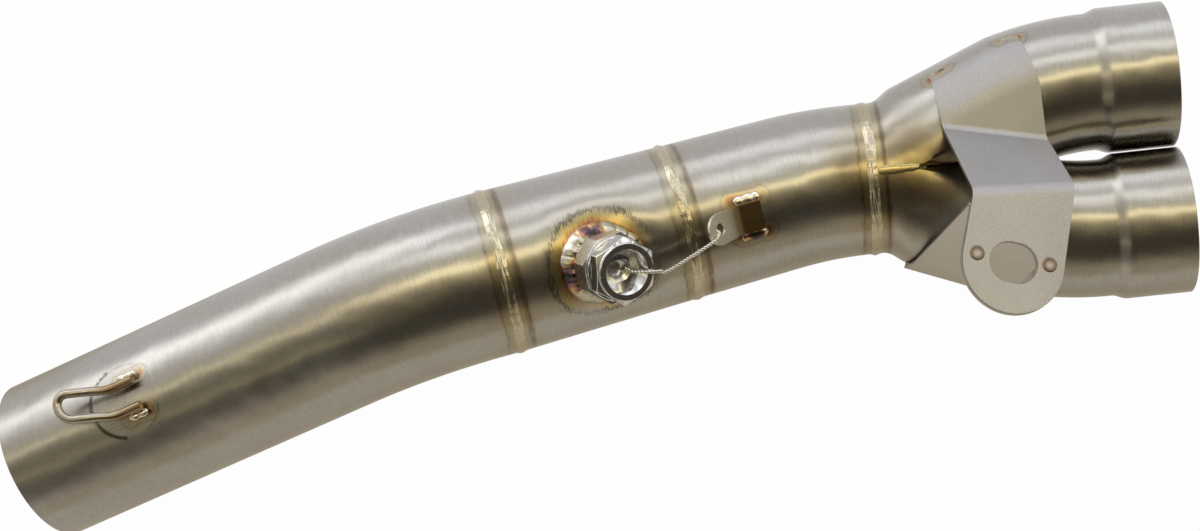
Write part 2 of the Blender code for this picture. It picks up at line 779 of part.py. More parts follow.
def make_hook_pad(base, line, parts, parent):
    """Makes the round pad under the spring hook, bent to the outlet tube."""
    bm = bmesh.new()
    centre = bm.verts.new(on_outlet(base, line, 0.0, 0.0, SEAT_GAP))
    inner = [centre] * RING_SIDES
    for ring in range(1, PAD_RINGS + 1):
        size = HOOK_PAD_DIAMETER / 2 * ring / PAD_RINGS
        outer = []
        for step in range(RING_SIDES):
            angle = math.tau * step / RING_SIDES
            along = size * math.cos(angle)
            across = size * math.sin(angle)
            outer.append(bm.verts.new(on_outlet(base, line, along, across, SEAT_GAP)))
        for here in range(RING_SIDES):
            there = (here + 1) % RING_SIDES
            corners = (inner[here], outer[here], outer[there], inner[there])
            bm.faces.new(corners[: 3 if inner[here] is inner[there] else 4])
        inner = outer
    pad = mesh_object("hook_pad", bm)
    add_solidify(pad, HOOK_PAD_THICKNESS, 1.0)
    return finish(pad, parts, "steel", parent)


def hook_plan():
    """Places of the hook's wire (along, across) over its pad, from one foot round the bow to the other."""
    half = HOOK_LEG_SPACING / 2
    straight = HOOK_REACH - half
    leg = [HOOK_FOOT - (HOOK_FOOT + straight) * share for share in HOOK_LEG_SHARES]
    plan = [(along, half) for along in leg]
    for step in range(1, HOOK_BOW_STEPS):
        angle = math.pi * step / HOOK_BOW_STEPS
        plan.append((-straight - half * math.sin(angle), half * math.cos(angle)))
    return plan + [(along, -half) for along in leg[::-1]]


def make_hook(line, parts, parent):
    """Makes the spring hook, the pad under it and the beads at its two feet."""
    base = line.rim + line.outlet * HOOK_RUN
    make_hook_pad(base, line, parts, parent)
    wire = HOOK_WIRE_DIAMETER / 2
    floor = HOOK_PAD_THICKNESS + 2 * SEAT_GAP
    path = [hook_point(base, line, along, across, floor + wire) for along, across in hook_plan()]
    finish(rod("spring_hook", path, wire, sides=HOOK_SIDES), parts, "steel", parent, sharp=60.0)

    for name, side in (("hook_weld_upper", 1.0), ("hook_weld_lower", -1.0)):
        across = side * (HOOK_LEG_SPACING / 2 + wire + SEAT_GAP + SMALL_BEAD_RADIUS)
        lift = floor + SMALL_BEAD_RADIUS + HOOK_BEAD_LIFT
        spots = []
        for step in range(BEAD_STEPS + 1):
            along = HOOK_FOOT - HOOK_BEAD_LENGTH * step / BEAD_STEPS
            spots.append(hook_point(base, line, along, across, lift))
        small_bead(name, spots, parts, parent)


def on_outlet(base, line, along, across, lift):
    """Point over the outlet tube: along its axis, across round its wall, and lifted from it."""
    radius = OUTLET_DIAMETER / 2
    angle = HOOK_CLOCK + across / radius
    return clock_frame(base + line.outlet * along, line.outlet, angle, radius + lift).translation


def hook_point(base, line, along, across, lift):
    """Point of the hook's wire: past the pad's middle it turns aside and lifts off the tube."""
    radius = OUTLET_DIAMETER / 2
    free = max(0.0, HOOK_TURN_START - along)
    sideways = across + free * math.tan(HOOK_YAW) * ease(free / HOOK_TURN_RUN)
    release = ease(free / HOOK_REACH)
    drop = radius - math.sqrt(radius * radius - sideways * sideways)
    flat = clock_frame(base, line.outlet, HOOK_CLOCK, radius)
    return flat @ Vector((along, sideways, lift + HOOK_LIFT * release - drop * (1.0 - release)))


def upward(bm):
    """Turns the faces of an open sheet so that they face up."""
    bmesh.ops.recalc_face_normals(bm, faces=bm.faces)
    if sum(face.normal.z * face.calc_area() for face in bm.faces) < 0:
        bmesh.ops.reverse_faces(bm, faces=bm.faces)


def edges_between(verts):
    """Edges that join neighbours in a list of vertices."""
    found = []
    for here, there in zip(verts, verts[1:]):
        found += [edge for edge in here.link_edges if edge.other_vert(here) == there]
    return found


class Flange:
    """The flange's fold, its plane and its outline, shared by both straps."""

    def __init__(self):
        floor = BRANCH_DIAMETER / 2 + SEAT_GAP
        self.lower_fold = [Vector((place.x, place.y, floor)) for place in STRAP_FOLD]
        near = Vector((FLANGE_FOLD[0].x, FLANGE_FOLD[0].y, floor + FLANGE_STAND_OFF))
        web = (self.lower_fold[1] - self.lower_fold[0]).cross(near - self.lower_fold[0]).normalized()
        far = Vector((FLANGE_FOLD[1].x, FLANGE_FOLD[1].y, 0.0))
        far.z = near.z - ((far.x - near.x) * web.x + (far.y - near.y) * web.y) / web.z
        self.near = near
        self.far = far
        self.across = (far - near).normalized()
        level = self.across.cross(Vector((0.0, 0.0, 1.0))).normalized()
        upright = level.cross(self.across).normalized()
        self.along = level * math.cos(FLANGE_RISE) + upright * math.sin(FLANGE_RISE)
        self.normal = self.along.cross(self.across).normalized()
        if self.normal.z < 0:
            self.normal = -self.normal
        self.width = (far - near).length

    def point(self, place, lift=0.0):
        """Point of the flange's plane, across and along from the fold's near end."""
        return self.near + self.across * place.x + self.along * place.y + self.normal * lift

    def outline(self):
        """Places round the flange's end, between the two straight sides that run on to the fold."""
        ends = []
        for corner, turn in ((Vector((0.0, 0.0)), 1.0), (Vector((self.width, 0.0)), -1.0)):
            reach = SLOT_PLACE - corner
            side_angle = math.atan2(reach.y, reach.x) + turn * math.asin(FLANGE_END_RADIUS / reach.length)
            ends.append(side_angle + turn * math.pi / 2)
        start, end = ends
        if start < end:
            start += math.tau
        places = []
        for step in range(FLANGE_END_STEPS + 1):
            angle = start + (end - start) * step / FLANGE_END_STEPS
            places.append(SLOT_PLACE + FLANGE_END_RADIUS * Vector((math.cos(angle), math.sin(angle))))
        return places


def strap_rows(flange):
    """Rows of points of the upper strap's leg, from its fold to its end over the branch."""
    rows = [[], []]
    rows += [[] for _ in range(STRAP_WRAP_STEPS)]
    for column in range(STRAP_COLUMNS + 1):
        share = column / STRAP_COLUMNS
        fold = flange.lower_fold[0].lerp(flange.lower_fold[1], share)
        end_x = STRAP_END[0] + (STRAP_END[1] - STRAP_END[0]) * share
        rows[0].append(fold)
        offset, slope = branch_axis(fold.x)
        leave_y = max(offset, fold.y + SHEET)
        radius = BRANCH_DIAMETER / 2 + SEAT_GAP
        leave = math.asin((leave_y - offset) * math.cos(slope) / radius)
        rows[1].append(Vector((fold.x, leave_y, fold.z)))
        for step in range(1, STRAP_WRAP_STEPS + 1):
            part = step / STRAP_WRAP_STEPS
            x = fold.x + (end_x - fold.x) * part
            rows[step + 1].append(branch_point(x, 1.0, leave + (STRAP_WRAP - leave) * part, WRAP_SEAT))
    return rows


def make_slot_cutter(flange, cutters, parent):
    """Makes the cutter for the slot through both sheets."""
    bm = bmesh.new()
    turn = Matrix.Rotation(SLOT_TURN, 2)
    half = (SLOT_LENGTH - SLOT_WIDTH) / 2
    rings = []
    for lift in (SHEET * 3, -SHEET * 5):
        ring = []
        for step in range(RING_SIDES):
            angle = math.tau * (step + 0.5) / RING_SIDES
            shift = half if math.cos(angle) > 0 else -half
            place = Vector((shift + SLOT_WIDTH / 2 * math.cos(angle), SLOT_WIDTH / 2 * math.sin(angle)))
            ring.append(bm.verts.new(flange.point(SLOT_PLACE + turn @ place, lift)))
        rings.append(ring)
    join_rings(bm, rings[0], rings[1])
    bm.faces.new(rings[0])
    bm.faces.new(rings[1])
    bmesh.ops.recalc_face_normals(bm, faces=bm.faces)
    return hide_cutter(mesh_object("slot_cutter", bm), cutters, parent)


def make_upper_strap(flange, slot, parts, parent):
    """Makes the strap over the upper branch, its raised web and its flange."""
    bm = bmesh.new()
    rows = [[bm.verts.new(place) for place in row] for row in strap_rows(flange)]
    for row, after in zip(rows, rows[1:]):
        for column in range(len(row) - 1):
            bm.faces.new((row[column], row[column + 1], after[column + 1], after[column]))
    near = bm.verts.new(flange.near)
    far = bm.verts.new(flange.far)
    bm.faces.new(rows[0] + [far, near])
    bm.faces.new([far, near] + [bm.verts.new(flange.point(place)) for place in flange.outline()])
    upward(bm)
    folds = edges_between(rows[0]) + edges_between([near, far])
    strap = sheet_object("bracket_upper_strap", bm, folds, FOLD_RADIUS, SHEET, 1.0)
    add_cut(strap, slot)
    return finish(strap, parts, "sheet", parent)


class Leg:
    """The lower strap's leg: a plane that leans on the lower branch, and its wrap round it."""

    def __init__(self, flange):
        self.axis = Vector((math.cos(BRANCH_ANGLE), -math.sin(BRANCH_ANGLE), 0.0))
        self.out = Vector((-math.sin(BRANCH_ANGLE), -math.cos(BRANCH_ANGLE), 0.0))
        self.foot = Vector((0.0, -BRANCH_START_OFFSET, 0.0))
        self.radius = BRANCH_DIAMETER / 2 + LEG_SEAT
        side = flange.outline()[0].normalized() * LEG_FOLD_START
        self.apex = flange.point(side, -SEAT_GAP)
        reach = self.apex - self.foot
        sideways = reach.dot(self.out)
        distance = math.hypot(sideways, reach.z)
        self.touch = math.atan2(sideways, reach.z) + math.acos(self.radius / distance)
        self.down = self.out * math.cos(self.touch) - Vector((0.0, 0.0, math.sin(self.touch)))
        self.normal = self.out * math.sin(self.touch) + Vector((0.0, 0.0, math.cos(self.touch)))
        self.length = math.sqrt(distance * distance - self.radius * self.radius)

    def touch_run(self, place):
        """Run along the branch's axis at which the edge that starts at a place begins to wrap."""
        left = self.length - (place - self.apex).dot(self.down)
        return (place - self.foot).dot(self.axis) - left * math.tan(LEG_SLANT)

    def wrapped(self, along, angle, lift=0.0):
        """Point on the wrap, along the branch's axis and at an angle past where the leg touches."""
        turn = self.touch + angle
        spoke = self.out * math.sin(turn) + Vector((0.0, 0.0, math.cos(turn)))
        return self.foot + self.axis * along + spoke * (self.radius + lift)


def make_lower_strap(flange, slot, parts, parent):
    """Makes the doubler behind the flange and the leg that folds back under it."""
    leg = Leg(flange)
    fold = flange.normal.cross(leg.normal).normalized()
    if fold.x < 0:
        fold = -fold
    outline = flange.outline()
    corner = flange.point(Vector((flange.width, 0.0)), -SEAT_GAP)
    edge = (flange.point(outline[-1], -SEAT_GAP) - corner).normalized()
    inward = edge.cross(flange.normal)
    run = (corner - leg.apex).dot(inward) / fold.dot(inward)
    ends = (leg.apex, leg.apex + fold * run)
    edges = [leg.touch_run(place) for place in ends]

    bm = bmesh.new()
    rows = [[bm.verts.new(place) for place in ends]]
    bm.faces.new(rows[0][::-1] + [bm.verts.new(flange.point(place, -SEAT_GAP)) for place in outline])
    for step in range(LEG_WRAP_STEPS + 1):
        angle = LEG_WRAP * step / LEG_WRAP_STEPS
        shift = leg.radius * angle * math.tan(LEG_SLANT)
        rows.append([bm.verts.new(leg.wrapped(along - shift, angle)) for along in edges])
    for row, after in zip(rows, rows[1:]):
        bm.faces.new((row[0], row[1], after[1], after[0]))
    bmesh.ops.recalc_face_normals(bm, faces=bm.faces)
    doubler = max(bm.faces, key=lambda face: len(face.verts))
    if doubler.normal.z < 0:
        bmesh.ops.reverse_faces(bm, faces=bm.faces)
    strap = sheet_object("bracket_lower_strap", bm, edges_between(rows[0]), FOLD_RADIUS, SHEET, -1.0)
    add_cut(strap, slot)
    finish(strap, parts, "sheet", parent)

    past = LEG_WRAP + (SEAT_GAP + SMALL_BEAD_RADIUS) / leg.radius
    shift = leg.radius * LEG_WRAP * math.tan(LEG_SLANT)
    starts = {"leg_weld_rear": edges[0] - shift, "leg_weld_front": edges[1] - shift - BRACKET_BEAD_LENGTH}
    for name, start in starts.items():
        spots = []
        for step in range(BEAD_STEPS + 1):
            along = start + BRACKET_BEAD_LENGTH * step / BEAD_STEPS
            spots.append(leg.wrapped(along, past, SMALL_BEAD_RADIUS))
        small_bead(name, spots, parts, parent)


def make_strap_welds(parts, parent):
    """Makes the beads at the two corners of the upper strap's end."""
    lift = SEAT_GAP + SMALL_BEAD_RADIUS
    radius = BRANCH_DIAMETER / 2 + lift
    angle = STRAP_WRAP + (SEAT_GAP + SMALL_BEAD_RADIUS) / radius
    starts = {"strap_weld_rear": STRAP_END[0], "strap_weld_front": STRAP_END[1] - BRACKET_BEAD_LENGTH}
    for name, start in starts.items():
        spots = []
        for step in range(BEAD_STEPS + 1):
            along = start + BRACKET_BEAD_LENGTH * step / BEAD_STEPS
            spots.append(branch_point(along, 1.0, angle, lift))
        small_bead(name, spots, parts, parent)


def lowest(centre, axis, radius):
    """Height of the lowest point of a circle."""
    return centre.z - radius * math.sqrt(1.0 - axis.z * axis.z)


def lay_down(line, parent, parts):
    """Lays the pipe on its three rims and puts the bottom centre of its box at the origin."""
    socket = Vector((socket_end(), 0.0, 0.0))
    forward = Vector((1.0, 0.0, 0.0))
    low, high = 0.0, MAX_TILT
    for _ in range(TILT_STEPS):
        tilt = (low + high) / 2
        turn = Matrix.Rotation(tilt, 3, "Y")
        outlet_low = lowest(turn @ line.rim, turn @ line.outlet, OUTLET_DIAMETER / 2)
        socket_low = lowest(turn @ socket, turn @ forward, SOCKET_DIAMETER / 2)
        if outlet_low < socket_low:
            low = tilt
        else:
            high = tilt
    parent.rotation_euler = (0.0, low, 0.0)
    bpy.context.view_layer.update()

    graph = bpy.context.evaluated_depsgraph_get()
    corners = []
    for item in parts.objects:
        if item.type != "MESH":
            continue
        shape = item.evaluated_get(graph)
        corners += [shape.matrix_world @ vert.co for vert in shape.data.vertices]
    lows = [min(corner[axis] for corner in corners) for axis in range(3)]
    highs = [max(corner[axis] for corner in corners) for axis in range(3)]
    parent.location = (-(lows[0] + highs[0]) / 2, -(lows[1] + highs[1]) / 2, -lows[2])


def main():
    """Builds the whole pipe."""
    clear_scene()
    parts = new_collection(OBJECT_NAME)
    cutters = new_collection("cutters")
    parent = bpy.data.objects.new("pipe_frame", None)
    parts.objects.link(parent)
    line = CentreLine()
    sensor = make_tubes(line, parts, parent)
    make_branch("upper_branch", 1.0, parts, parent)
    make_branch("lower_branch", -1.0, parts, parent)
    girth_weld("weld_outlet", line.joint, line.middle, OUTLET_DIAMETER / 2, parts, parent)
    girth_weld("weld_middle", line.neck, line.middle, NECK_DIAMETER / 2, parts, parent)
    girth_weld("weld_collector", line.mouth, Vector((1.0, 0.0, 0.0)), MOUTH_DIAMETER / 2, parts, parent)
    merge_weld("merge_weld_top", 1.0, parts, parent)
    merge_weld("merge_weld_bottom", -1.0, parts, parent)
    make_bung(line, sensor, parts, cutters, parent)
    ear_frame = make_tab(line, parts, cutters, parent)
    make_lock_wire(line, ear_frame, parts, parent)
    make_hook(line, parts, parent)
    flange = Flange()
    slot = make_slot_cutter(flange, cutters, parent)
    make_upper_strap(flange, slot, parts, parent)
    make_lower_strap(flange, slot, parts, parent)
    make_strap_welds(parts, parent)
    lay_down(line, parent, parts)


main()
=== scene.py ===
"""Motorbike exhaust link pipe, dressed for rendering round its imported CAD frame.

Every piece is built in the pipe's own frame: the collector's axis is X, its mouth is at the
origin and the sockets open towards +X. One matrix then lays the pieces down on the CAD's place.
Lengths are in metres and angles in radians.
"""

import logging
import math
from collections.abc import Callable
from dataclasses import dataclass, field
from enum import Enum

import bmesh
import bpy
from mathutils import Matrix, Vector, kdtree, noise


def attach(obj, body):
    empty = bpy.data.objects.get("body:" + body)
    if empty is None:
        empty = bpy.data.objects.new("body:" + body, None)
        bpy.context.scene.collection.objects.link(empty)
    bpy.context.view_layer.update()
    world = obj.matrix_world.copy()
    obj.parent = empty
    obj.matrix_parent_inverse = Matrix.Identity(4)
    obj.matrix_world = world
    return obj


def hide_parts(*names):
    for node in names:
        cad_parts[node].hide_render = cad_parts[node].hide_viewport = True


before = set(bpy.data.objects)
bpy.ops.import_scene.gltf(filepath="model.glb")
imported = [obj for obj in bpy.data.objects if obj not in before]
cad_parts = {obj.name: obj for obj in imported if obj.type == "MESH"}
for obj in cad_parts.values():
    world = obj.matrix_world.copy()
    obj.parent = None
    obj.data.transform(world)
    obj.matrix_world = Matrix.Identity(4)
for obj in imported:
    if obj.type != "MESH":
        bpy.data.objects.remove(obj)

LOG = logging.getLogger("link_pipe")
BODY = "root"

Ring = list[Vector]
BMesh = bmesh.types.BMesh
Rows = list[list[bmesh.types.BMVert]]
Object = bpy.types.Object
Socket = bpy.types.NodeSocket
Colour = tuple[float, float, float, float]
Stops = tuple[tuple[float, Colour], ...]
Value = Socket | float | Colour

# The pipe's place: the collector's mouth, and how far its axis dips towards the sockets
MOUTH_PLACE = Vector((0.116006, 0.025051, 0.035400))
LAY_TILT = 0.055690
LAY_DOWN = Matrix.Translation(MOUTH_PLACE) @ Matrix.Rotation(LAY_TILT, 4, "Y")
ORIGIN = Vector((0.0, 0.0, 0.0))
FORWARD = Vector((1.0, 0.0, 0.0))
SIDEWAYS = Vector((0.0, 1.0, 0.0))
UP = Vector((0.0, 0.0, 1.0))

# Round tubes: outer diameters and walls
OUTLET_DIAMETER = 0.0650
NECK_DIAMETER = 0.0618
MOUTH_DIAMETER = 0.0596
BRANCH_DIAMETER = 0.0540
SOCKET_DIAMETER = 0.0574
OUTLET_WALL = 0.0015
TUBE_WALL = 0.0013

# Fits and mesh steps
SEAT_GAP = 0.0003
SAME_PLACE = 1e-7
SKIN_SAMPLES = 8
ROD_END_STEPS = 4
EDGE_ANGLE = math.radians(35.0)
BEAD_SHARP = 60.0
BEAD_RAISE = 0.001
BEAD_ROOT = 0.0004
DRUM_SIDES = 96

# Layers that hold each point's distance from a kind of weld line, or from a line of soot and painted shadow
# on the hook's pad
SKIN_UV = "surface"
GIRTH_HEAT = "girth_heat"
EDGE_HEAT_AND_SHADE = "edge_heat_and_shade"
SPOT_HEAT = "spot_heat"
BOSS_HEAT = "boss_heat"
SEAM_HEAT_AND_SHADE = "seam_heat_and_shade"
SOOT_AND_SHADOW_EDGE = "soot_and_shadow_edge"
RING_HEAT = "ring_heat"
TINT_LAYERS = (GIRTH_HEAT, EDGE_HEAT_AND_SHADE, SPOT_HEAT, BOSS_HEAT, SEAM_HEAT_AND_SHADE, SOOT_AND_SHADOW_EDGE, RING_HEAT)
FAR_FROM_LINES = 0.05


class Slot(Enum):
    """The record's material slots."""

    TUBE = "tube_steel"
    BEAD = "weld_bead"
    SHEET = "bracket_sheet"
    TURNED = "turned_steel"
    WIRE = "lock_wire"


class Grain(Enum):
    """How a steel surface was worked."""

    BELT_POLISHED = "belt_polished"
    MILL_SHEET = "mill_sheet"
    TURNED_FACE = "turned_face"
    FUSED_BEAD = "fused_bead"
    DRAWN_WIRE = "drawn_wire"


# Geometry helpers


def vector_field(*values: float) -> Vector:
    """Field of a dataclass that holds a vector."""
    return field(default_factory=lambda: Vector(values))


def heading(yaw: float, pitch: float) -> Vector:
    """Makes a unit vector.

    Args:
        yaw: Angle about Z.
        pitch: Angle above the XY plane.

    Returns:
        The direction.
    """
    flat = math.cos(pitch)
    return Vector((math.cos(yaw) * flat, math.sin(yaw) * flat, math.sin(pitch)))


def ease(share: float) -> float:
    """Smooth step from 0 to 1."""
    share = min(max(share, 0.0), 1.0)
    return share * share * (3 - 2 * share)


def arc(start: Vector, travel: Vector, next_travel: Vector, radius: float, steps: int) -> Ring:
    """Walks along an arc between two travel directions.

    Args:
        start: Where the arc begins; it isn't in the result.
        travel: Direction at the start.
        next_travel: Direction at the end.
        radius: Bend radius.
        steps: Number of points.

    Returns:
        The points after the start.
    """
    axis = travel.cross(next_travel).normalized()
    sideways = axis.cross(travel)
    total = travel.angle(next_travel)
    points = []
    for step in range(1, steps + 1):
        angle = total * step / steps
        points.append(start + radius * (math.sin(angle) * travel + (1 - math.cos(angle)) * sideways))
    return points


def resampled(points: Ring, spacing: float) -> Ring:
    """Spreads points evenly along a polyline.

    Args:
        points: The polyline.
        spacing: Wanted distance between points.

    Returns:
        Evenly spaced points, with both ends kept.
    """
    runs = [0.0]
    for here, there in zip(points, points[1:]):
        runs.append(runs[-1] + (there - here).length)
    count = max(2, round(runs[-1] / spacing))
    result = []
    segment = 0
    for step in range(count + 1):
        run = runs[-1] * step / count
        while segment < len(runs) - 2 and runs[segment + 1] < run:
            segment += 1
        share = (run - runs[segment]) / (runs[segment + 1] - runs[segment])
        result.append(points[segment].lerp(points[segment + 1], share))
    return result


def smooth_route(route: Ring, steps: int) -> Ring:
    """Draws a smooth curve through a route's points.

    Args:
        route: The points to pass.
        steps: Points for each stretch of the route.

    Returns:
        Points on the curve.
    """
    points = []
    padded = [route[0] * 2 - route[1]] + route + [route[-1] * 2 - route[-2]]
    for index in range(1, len(padded) - 2):
        before, here, there, after = padded[index - 1 : index + 3]
        for step in range(steps):
            t = step / steps
            bend = (2 * before - 5 * here + 4 * there - after) * t * t
            twist = (3 * here - before - 3 * there + after) * t * t * t
            points.append(0.5 * (2 * here + (there - before) * t + bend + twist))
    return points + [route[-1]]


def clock_frame(origin: Vector, axis: Vector, clock: float, radius: float) -> Matrix:
    """Stands a frame on a tube's surface.

    Args:
        origin: Point on the tube's axis.
        axis: Direction of the tube.
        clock: Angle from the top, towards +Y.
        radius: Distance of the frame from the axis.

    Returns:
        Frame with X along the tube and Z outwards.
    """
    top = (UP - axis * axis.z).normalized()
    side = top.cross(axis)
    outward = top * math.cos(clock) + side * math.sin(clock)
    stand = Matrix((axis, outward.cross(axis), outward)).transposed().to_4x4()
    stand.translation = origin + outward * radius
    return stand


def full_turn(count: int) -> list[float]:
    """Even angle steps round a circle."""
    return [math.tau * step / count for step in range(count)]


def polar(radius: float, angle: float, height: float = 0.0) -> Vector:
    """Point on a circle about Z."""
    return Vector((radius * math.cos(angle), radius * math.sin(angle), height))


def on_tube(stand: Matrix, along: float, radius: float, angle: float) -> Vector:
    """Point on a circle about the X axis of a tube's frame, at an angle from its top."""
    return stand @ Vector((along, radius * math.sin(angle), radius * math.cos(angle)))


def tangents(points: Ring) -> Ring:
    """Travel direction at each point of a line."""
    ends = zip(points[:1] + points[:-1], points[1:] + points[-1:])
    return [(after - before).normalized() for before, after in ends]


def skin(bm: BMesh, rings: list[Ring], around: bool = True, along: bool = False) -> Rows:
    """Joins rings of points with quads, and lays the skin's own lengths on it as UVs.

    Args:
        bm: Mesh to add to.
        rings: Rings or rows with the same number of points.
        around: Whether each ring closes on itself.
        along: Whether the last ring joins the first.

    Returns:
        The rows of vertices.
    """
    layer = bm.loops.layers.uv.get(SKIN_UV) or bm.loops.layers.uv.new(SKIN_UV)
    rows = [[bm.verts.new(place) for place in ring] for ring in rings]
    count = len(rings[0])
    stride = max(1, count // SKIN_SAMPLES)
    runs = [0.0]
    for here, there in zip(rings, rings[1:] + rings[:1]):
        lengths = [(b - a).length for a, b in zip(here[::stride], there[::stride])]
        runs.append(runs[-1] + sum(lengths) / len(lengths))
    turns = [0.0]
    middle = rings[len(rings) // 2]
    for here, there in zip(middle, middle[1:] + middle[:1]):
        turns.append(turns[-1] + (there - here).length)
    for row in range(len(rows) if along else len(rows) - 1):
        for column in range(count if around else count - 1):
            corners = ((row, column), (row, column + 1), (row + 1, column + 1), (row + 1, column))
            face = bm.faces.new([rows[down % len(rows)][across % count] for down, across in corners])
            for loop, (down, across) in zip(face.loops, corners):
                loop[layer].uv = (runs[down], turns[across])
    return rows


def cap(bm: BMesh, rows: Rows) -> None:
    """Closes a skin's two ends with flat faces."""
    bm.faces.new(rows[0][::-1])
    bm.faces.new(rows[-1])


def skin_mesh(rings: list[Ring], along: bool = False, capped: bool = False, merge: float = 0.0) -> BMesh:
    """Skins rings as a closed mesh of their own.

    Args:
        rings: The rings.
        along: Whether the last ring joins the first.
        capped: Whether flat faces close the ends.
        merge: Distance within which points become one, or 0.

    Returns:
        The mesh, with its faces outwards.
    """
    bm = bmesh.new()
    rows = skin(bm, rings, along=along)
    if capped:
        cap(bm, rows)
    if merge:
        bmesh.ops.remove_doubles(bm, verts=bm.verts, dist=merge)
    bmesh.ops.recalc_face_normals(bm, faces=bm.faces)
    return bm


def circle_rings(points: Ring, radii: list[float], sides: int) -> list[Ring]:
    """Stands circles along a line, without twist.

    Args:
        points: The line.
        radii: Radius at each point.
        sides: Points on each circle.

    Returns:
        The circles' points.
    """
    travel = tangents(points)
    up = travel[0].orthogonal().normalized()
    rings = []
    for centre, radius, direction in zip(points, radii, travel):
        up = (up - direction * up.dot(direction)).normalized()
        side = direction.cross(up)
        spokes = [up * math.cos(angle) + side * math.sin(angle) for angle in full_turn(sides)]
        rings.append([centre + spoke * radius for spoke in spokes])
    return rings


def rod_mesh(points: Ring, radius: float, sides: int) -> BMesh:
    """Makes a round rod with rounded ends.

    Args:
        points: The rod's line.
        radius: Its radius.
        sides: Points on each ring.

    Returns:
        The closed mesh.
    """
    travel = tangents(points)
    head, tail, end_radii = [], [], []
    for step in range(ROD_END_STEPS):
        angle = math.pi / 2 * (step + 0.3) / ROD_END_STEPS
        reach = radius * (1 - math.sin(angle))
        head.append(points[0] + travel[0] * reach)
        tail.insert(0, points[-1] - travel[-1] * reach)
        end_radii.append(radius * math.sin(angle + 0.1))
    inner = [p for p in points if (p - points[0]).length > radius and (p - points[-1]).length > radius]
    radii = end_radii + [radius] * len(inner) + end_radii[::-1]
    return skin_mesh(circle_rings(head + inner + tail, radii, sides), capped=True)


def lathe_mesh(profile: list[tuple[float, float]], sides: int) -> BMesh:
    """Turns a profile of (radius, height) about Z; a first radius of 0 closes it on the axis."""
    rings = [[polar(radius, angle, height) for angle in full_turn(sides)] for radius, height in profile]
    return skin_mesh(rings, along=profile[0][0] > 0.0, merge=SAME_PLACE)


def edges_between(verts: list[bmesh.types.BMVert]) -> list[bmesh.types.BMEdge]:
    """Edges that join neighbours in a list of vertices."""
    pairs = zip(verts, verts[1:])
    return [edge for here, there in pairs for edge in here.link_edges if edge.other_vert(here) == there]


def loose_object(name: str, bm: BMesh) -> Object:
    """Turns a bmesh into an object.

    Args:
        name: The object's name.
        bm: Its mesh, which is freed.

    Returns:
        The object, in the scene.
    """
    mesh = bpy.data.meshes.new(name)
    bm.to_mesh(mesh)
    bm.free()
    item = bpy.data.objects.new(name, mesh)
    bpy.context.scene.collection.objects.link(item)
    return item


def drum(name: str, sides: int, radius: float, depth: float, place: Matrix) -> Object:
    """Makes a cylinder or a prism.

    Args:
        name: The object's name.
        sides: Its sides.
        radius: Radius to its corners.
        depth: Its height.
        place: Frame of its middle, with Z along its axis.

    Returns:
        The object.
    """
    bm = bmesh.new()
    bmesh.ops.create_cone(bm, cap_ends=True, segments=sides, radius1=radius, radius2=radius, depth=depth)
    bm.transform(place)
    return loose_object(name, bm)


def add_modifier(item: Object, kind: str, **settings: object) -> None:
    """Adds a modifier and sets its properties."""
    step = item.modifiers.new(kind.lower(), kind)
    for name, value in settings.items():
        setattr(step, name, value)


def add_boolean(item: Object, other: Object, operation: str = "DIFFERENCE") -> None:
    """Cuts another object out of this one, or joins it on."""
    add_modifier(item, "BOOLEAN", operation=operation, object=other, solver="EXACT")


def add_thickness(item: Object, thickness: float, offset: float = 1.0) -> None:
    """Gives an open sheet its thickness."""
    add_modifier(item, "SOLIDIFY", thickness=thickness, offset=offset, use_even_offset=True)


def add_edge_rounding(item: Object, width: float) -> None:
    """Rounds an object's sharp edges."""
    add_modifier(item, "BEVEL", width=width, segments=2, limit_method="ANGLE", angle_limit=EDGE_ANGLE)


def settled(item: Object, helpers: tuple[Object, ...] = ()) -> BMesh:
    """Applies an object's modifiers and takes its mesh.

    Args:
        item: Object with modifiers; it is removed.
        helpers: Cutters that are removed with it.

    Returns:
        The finished mesh.
    """
    bpy.context.view_layer.update()
    graph = bpy.context.evaluated_depsgraph_get()
    bm = bmesh.new()
    shape = item.evaluated_get(graph)
    bm.from_mesh(shape.to_mesh())
    bm.transform(item.matrix_world)
    shape.to_mesh_clear()
    for other in (item, *helpers):
        bpy.data.objects.remove(other, do_unlink=True)
    return bm


# Finishes


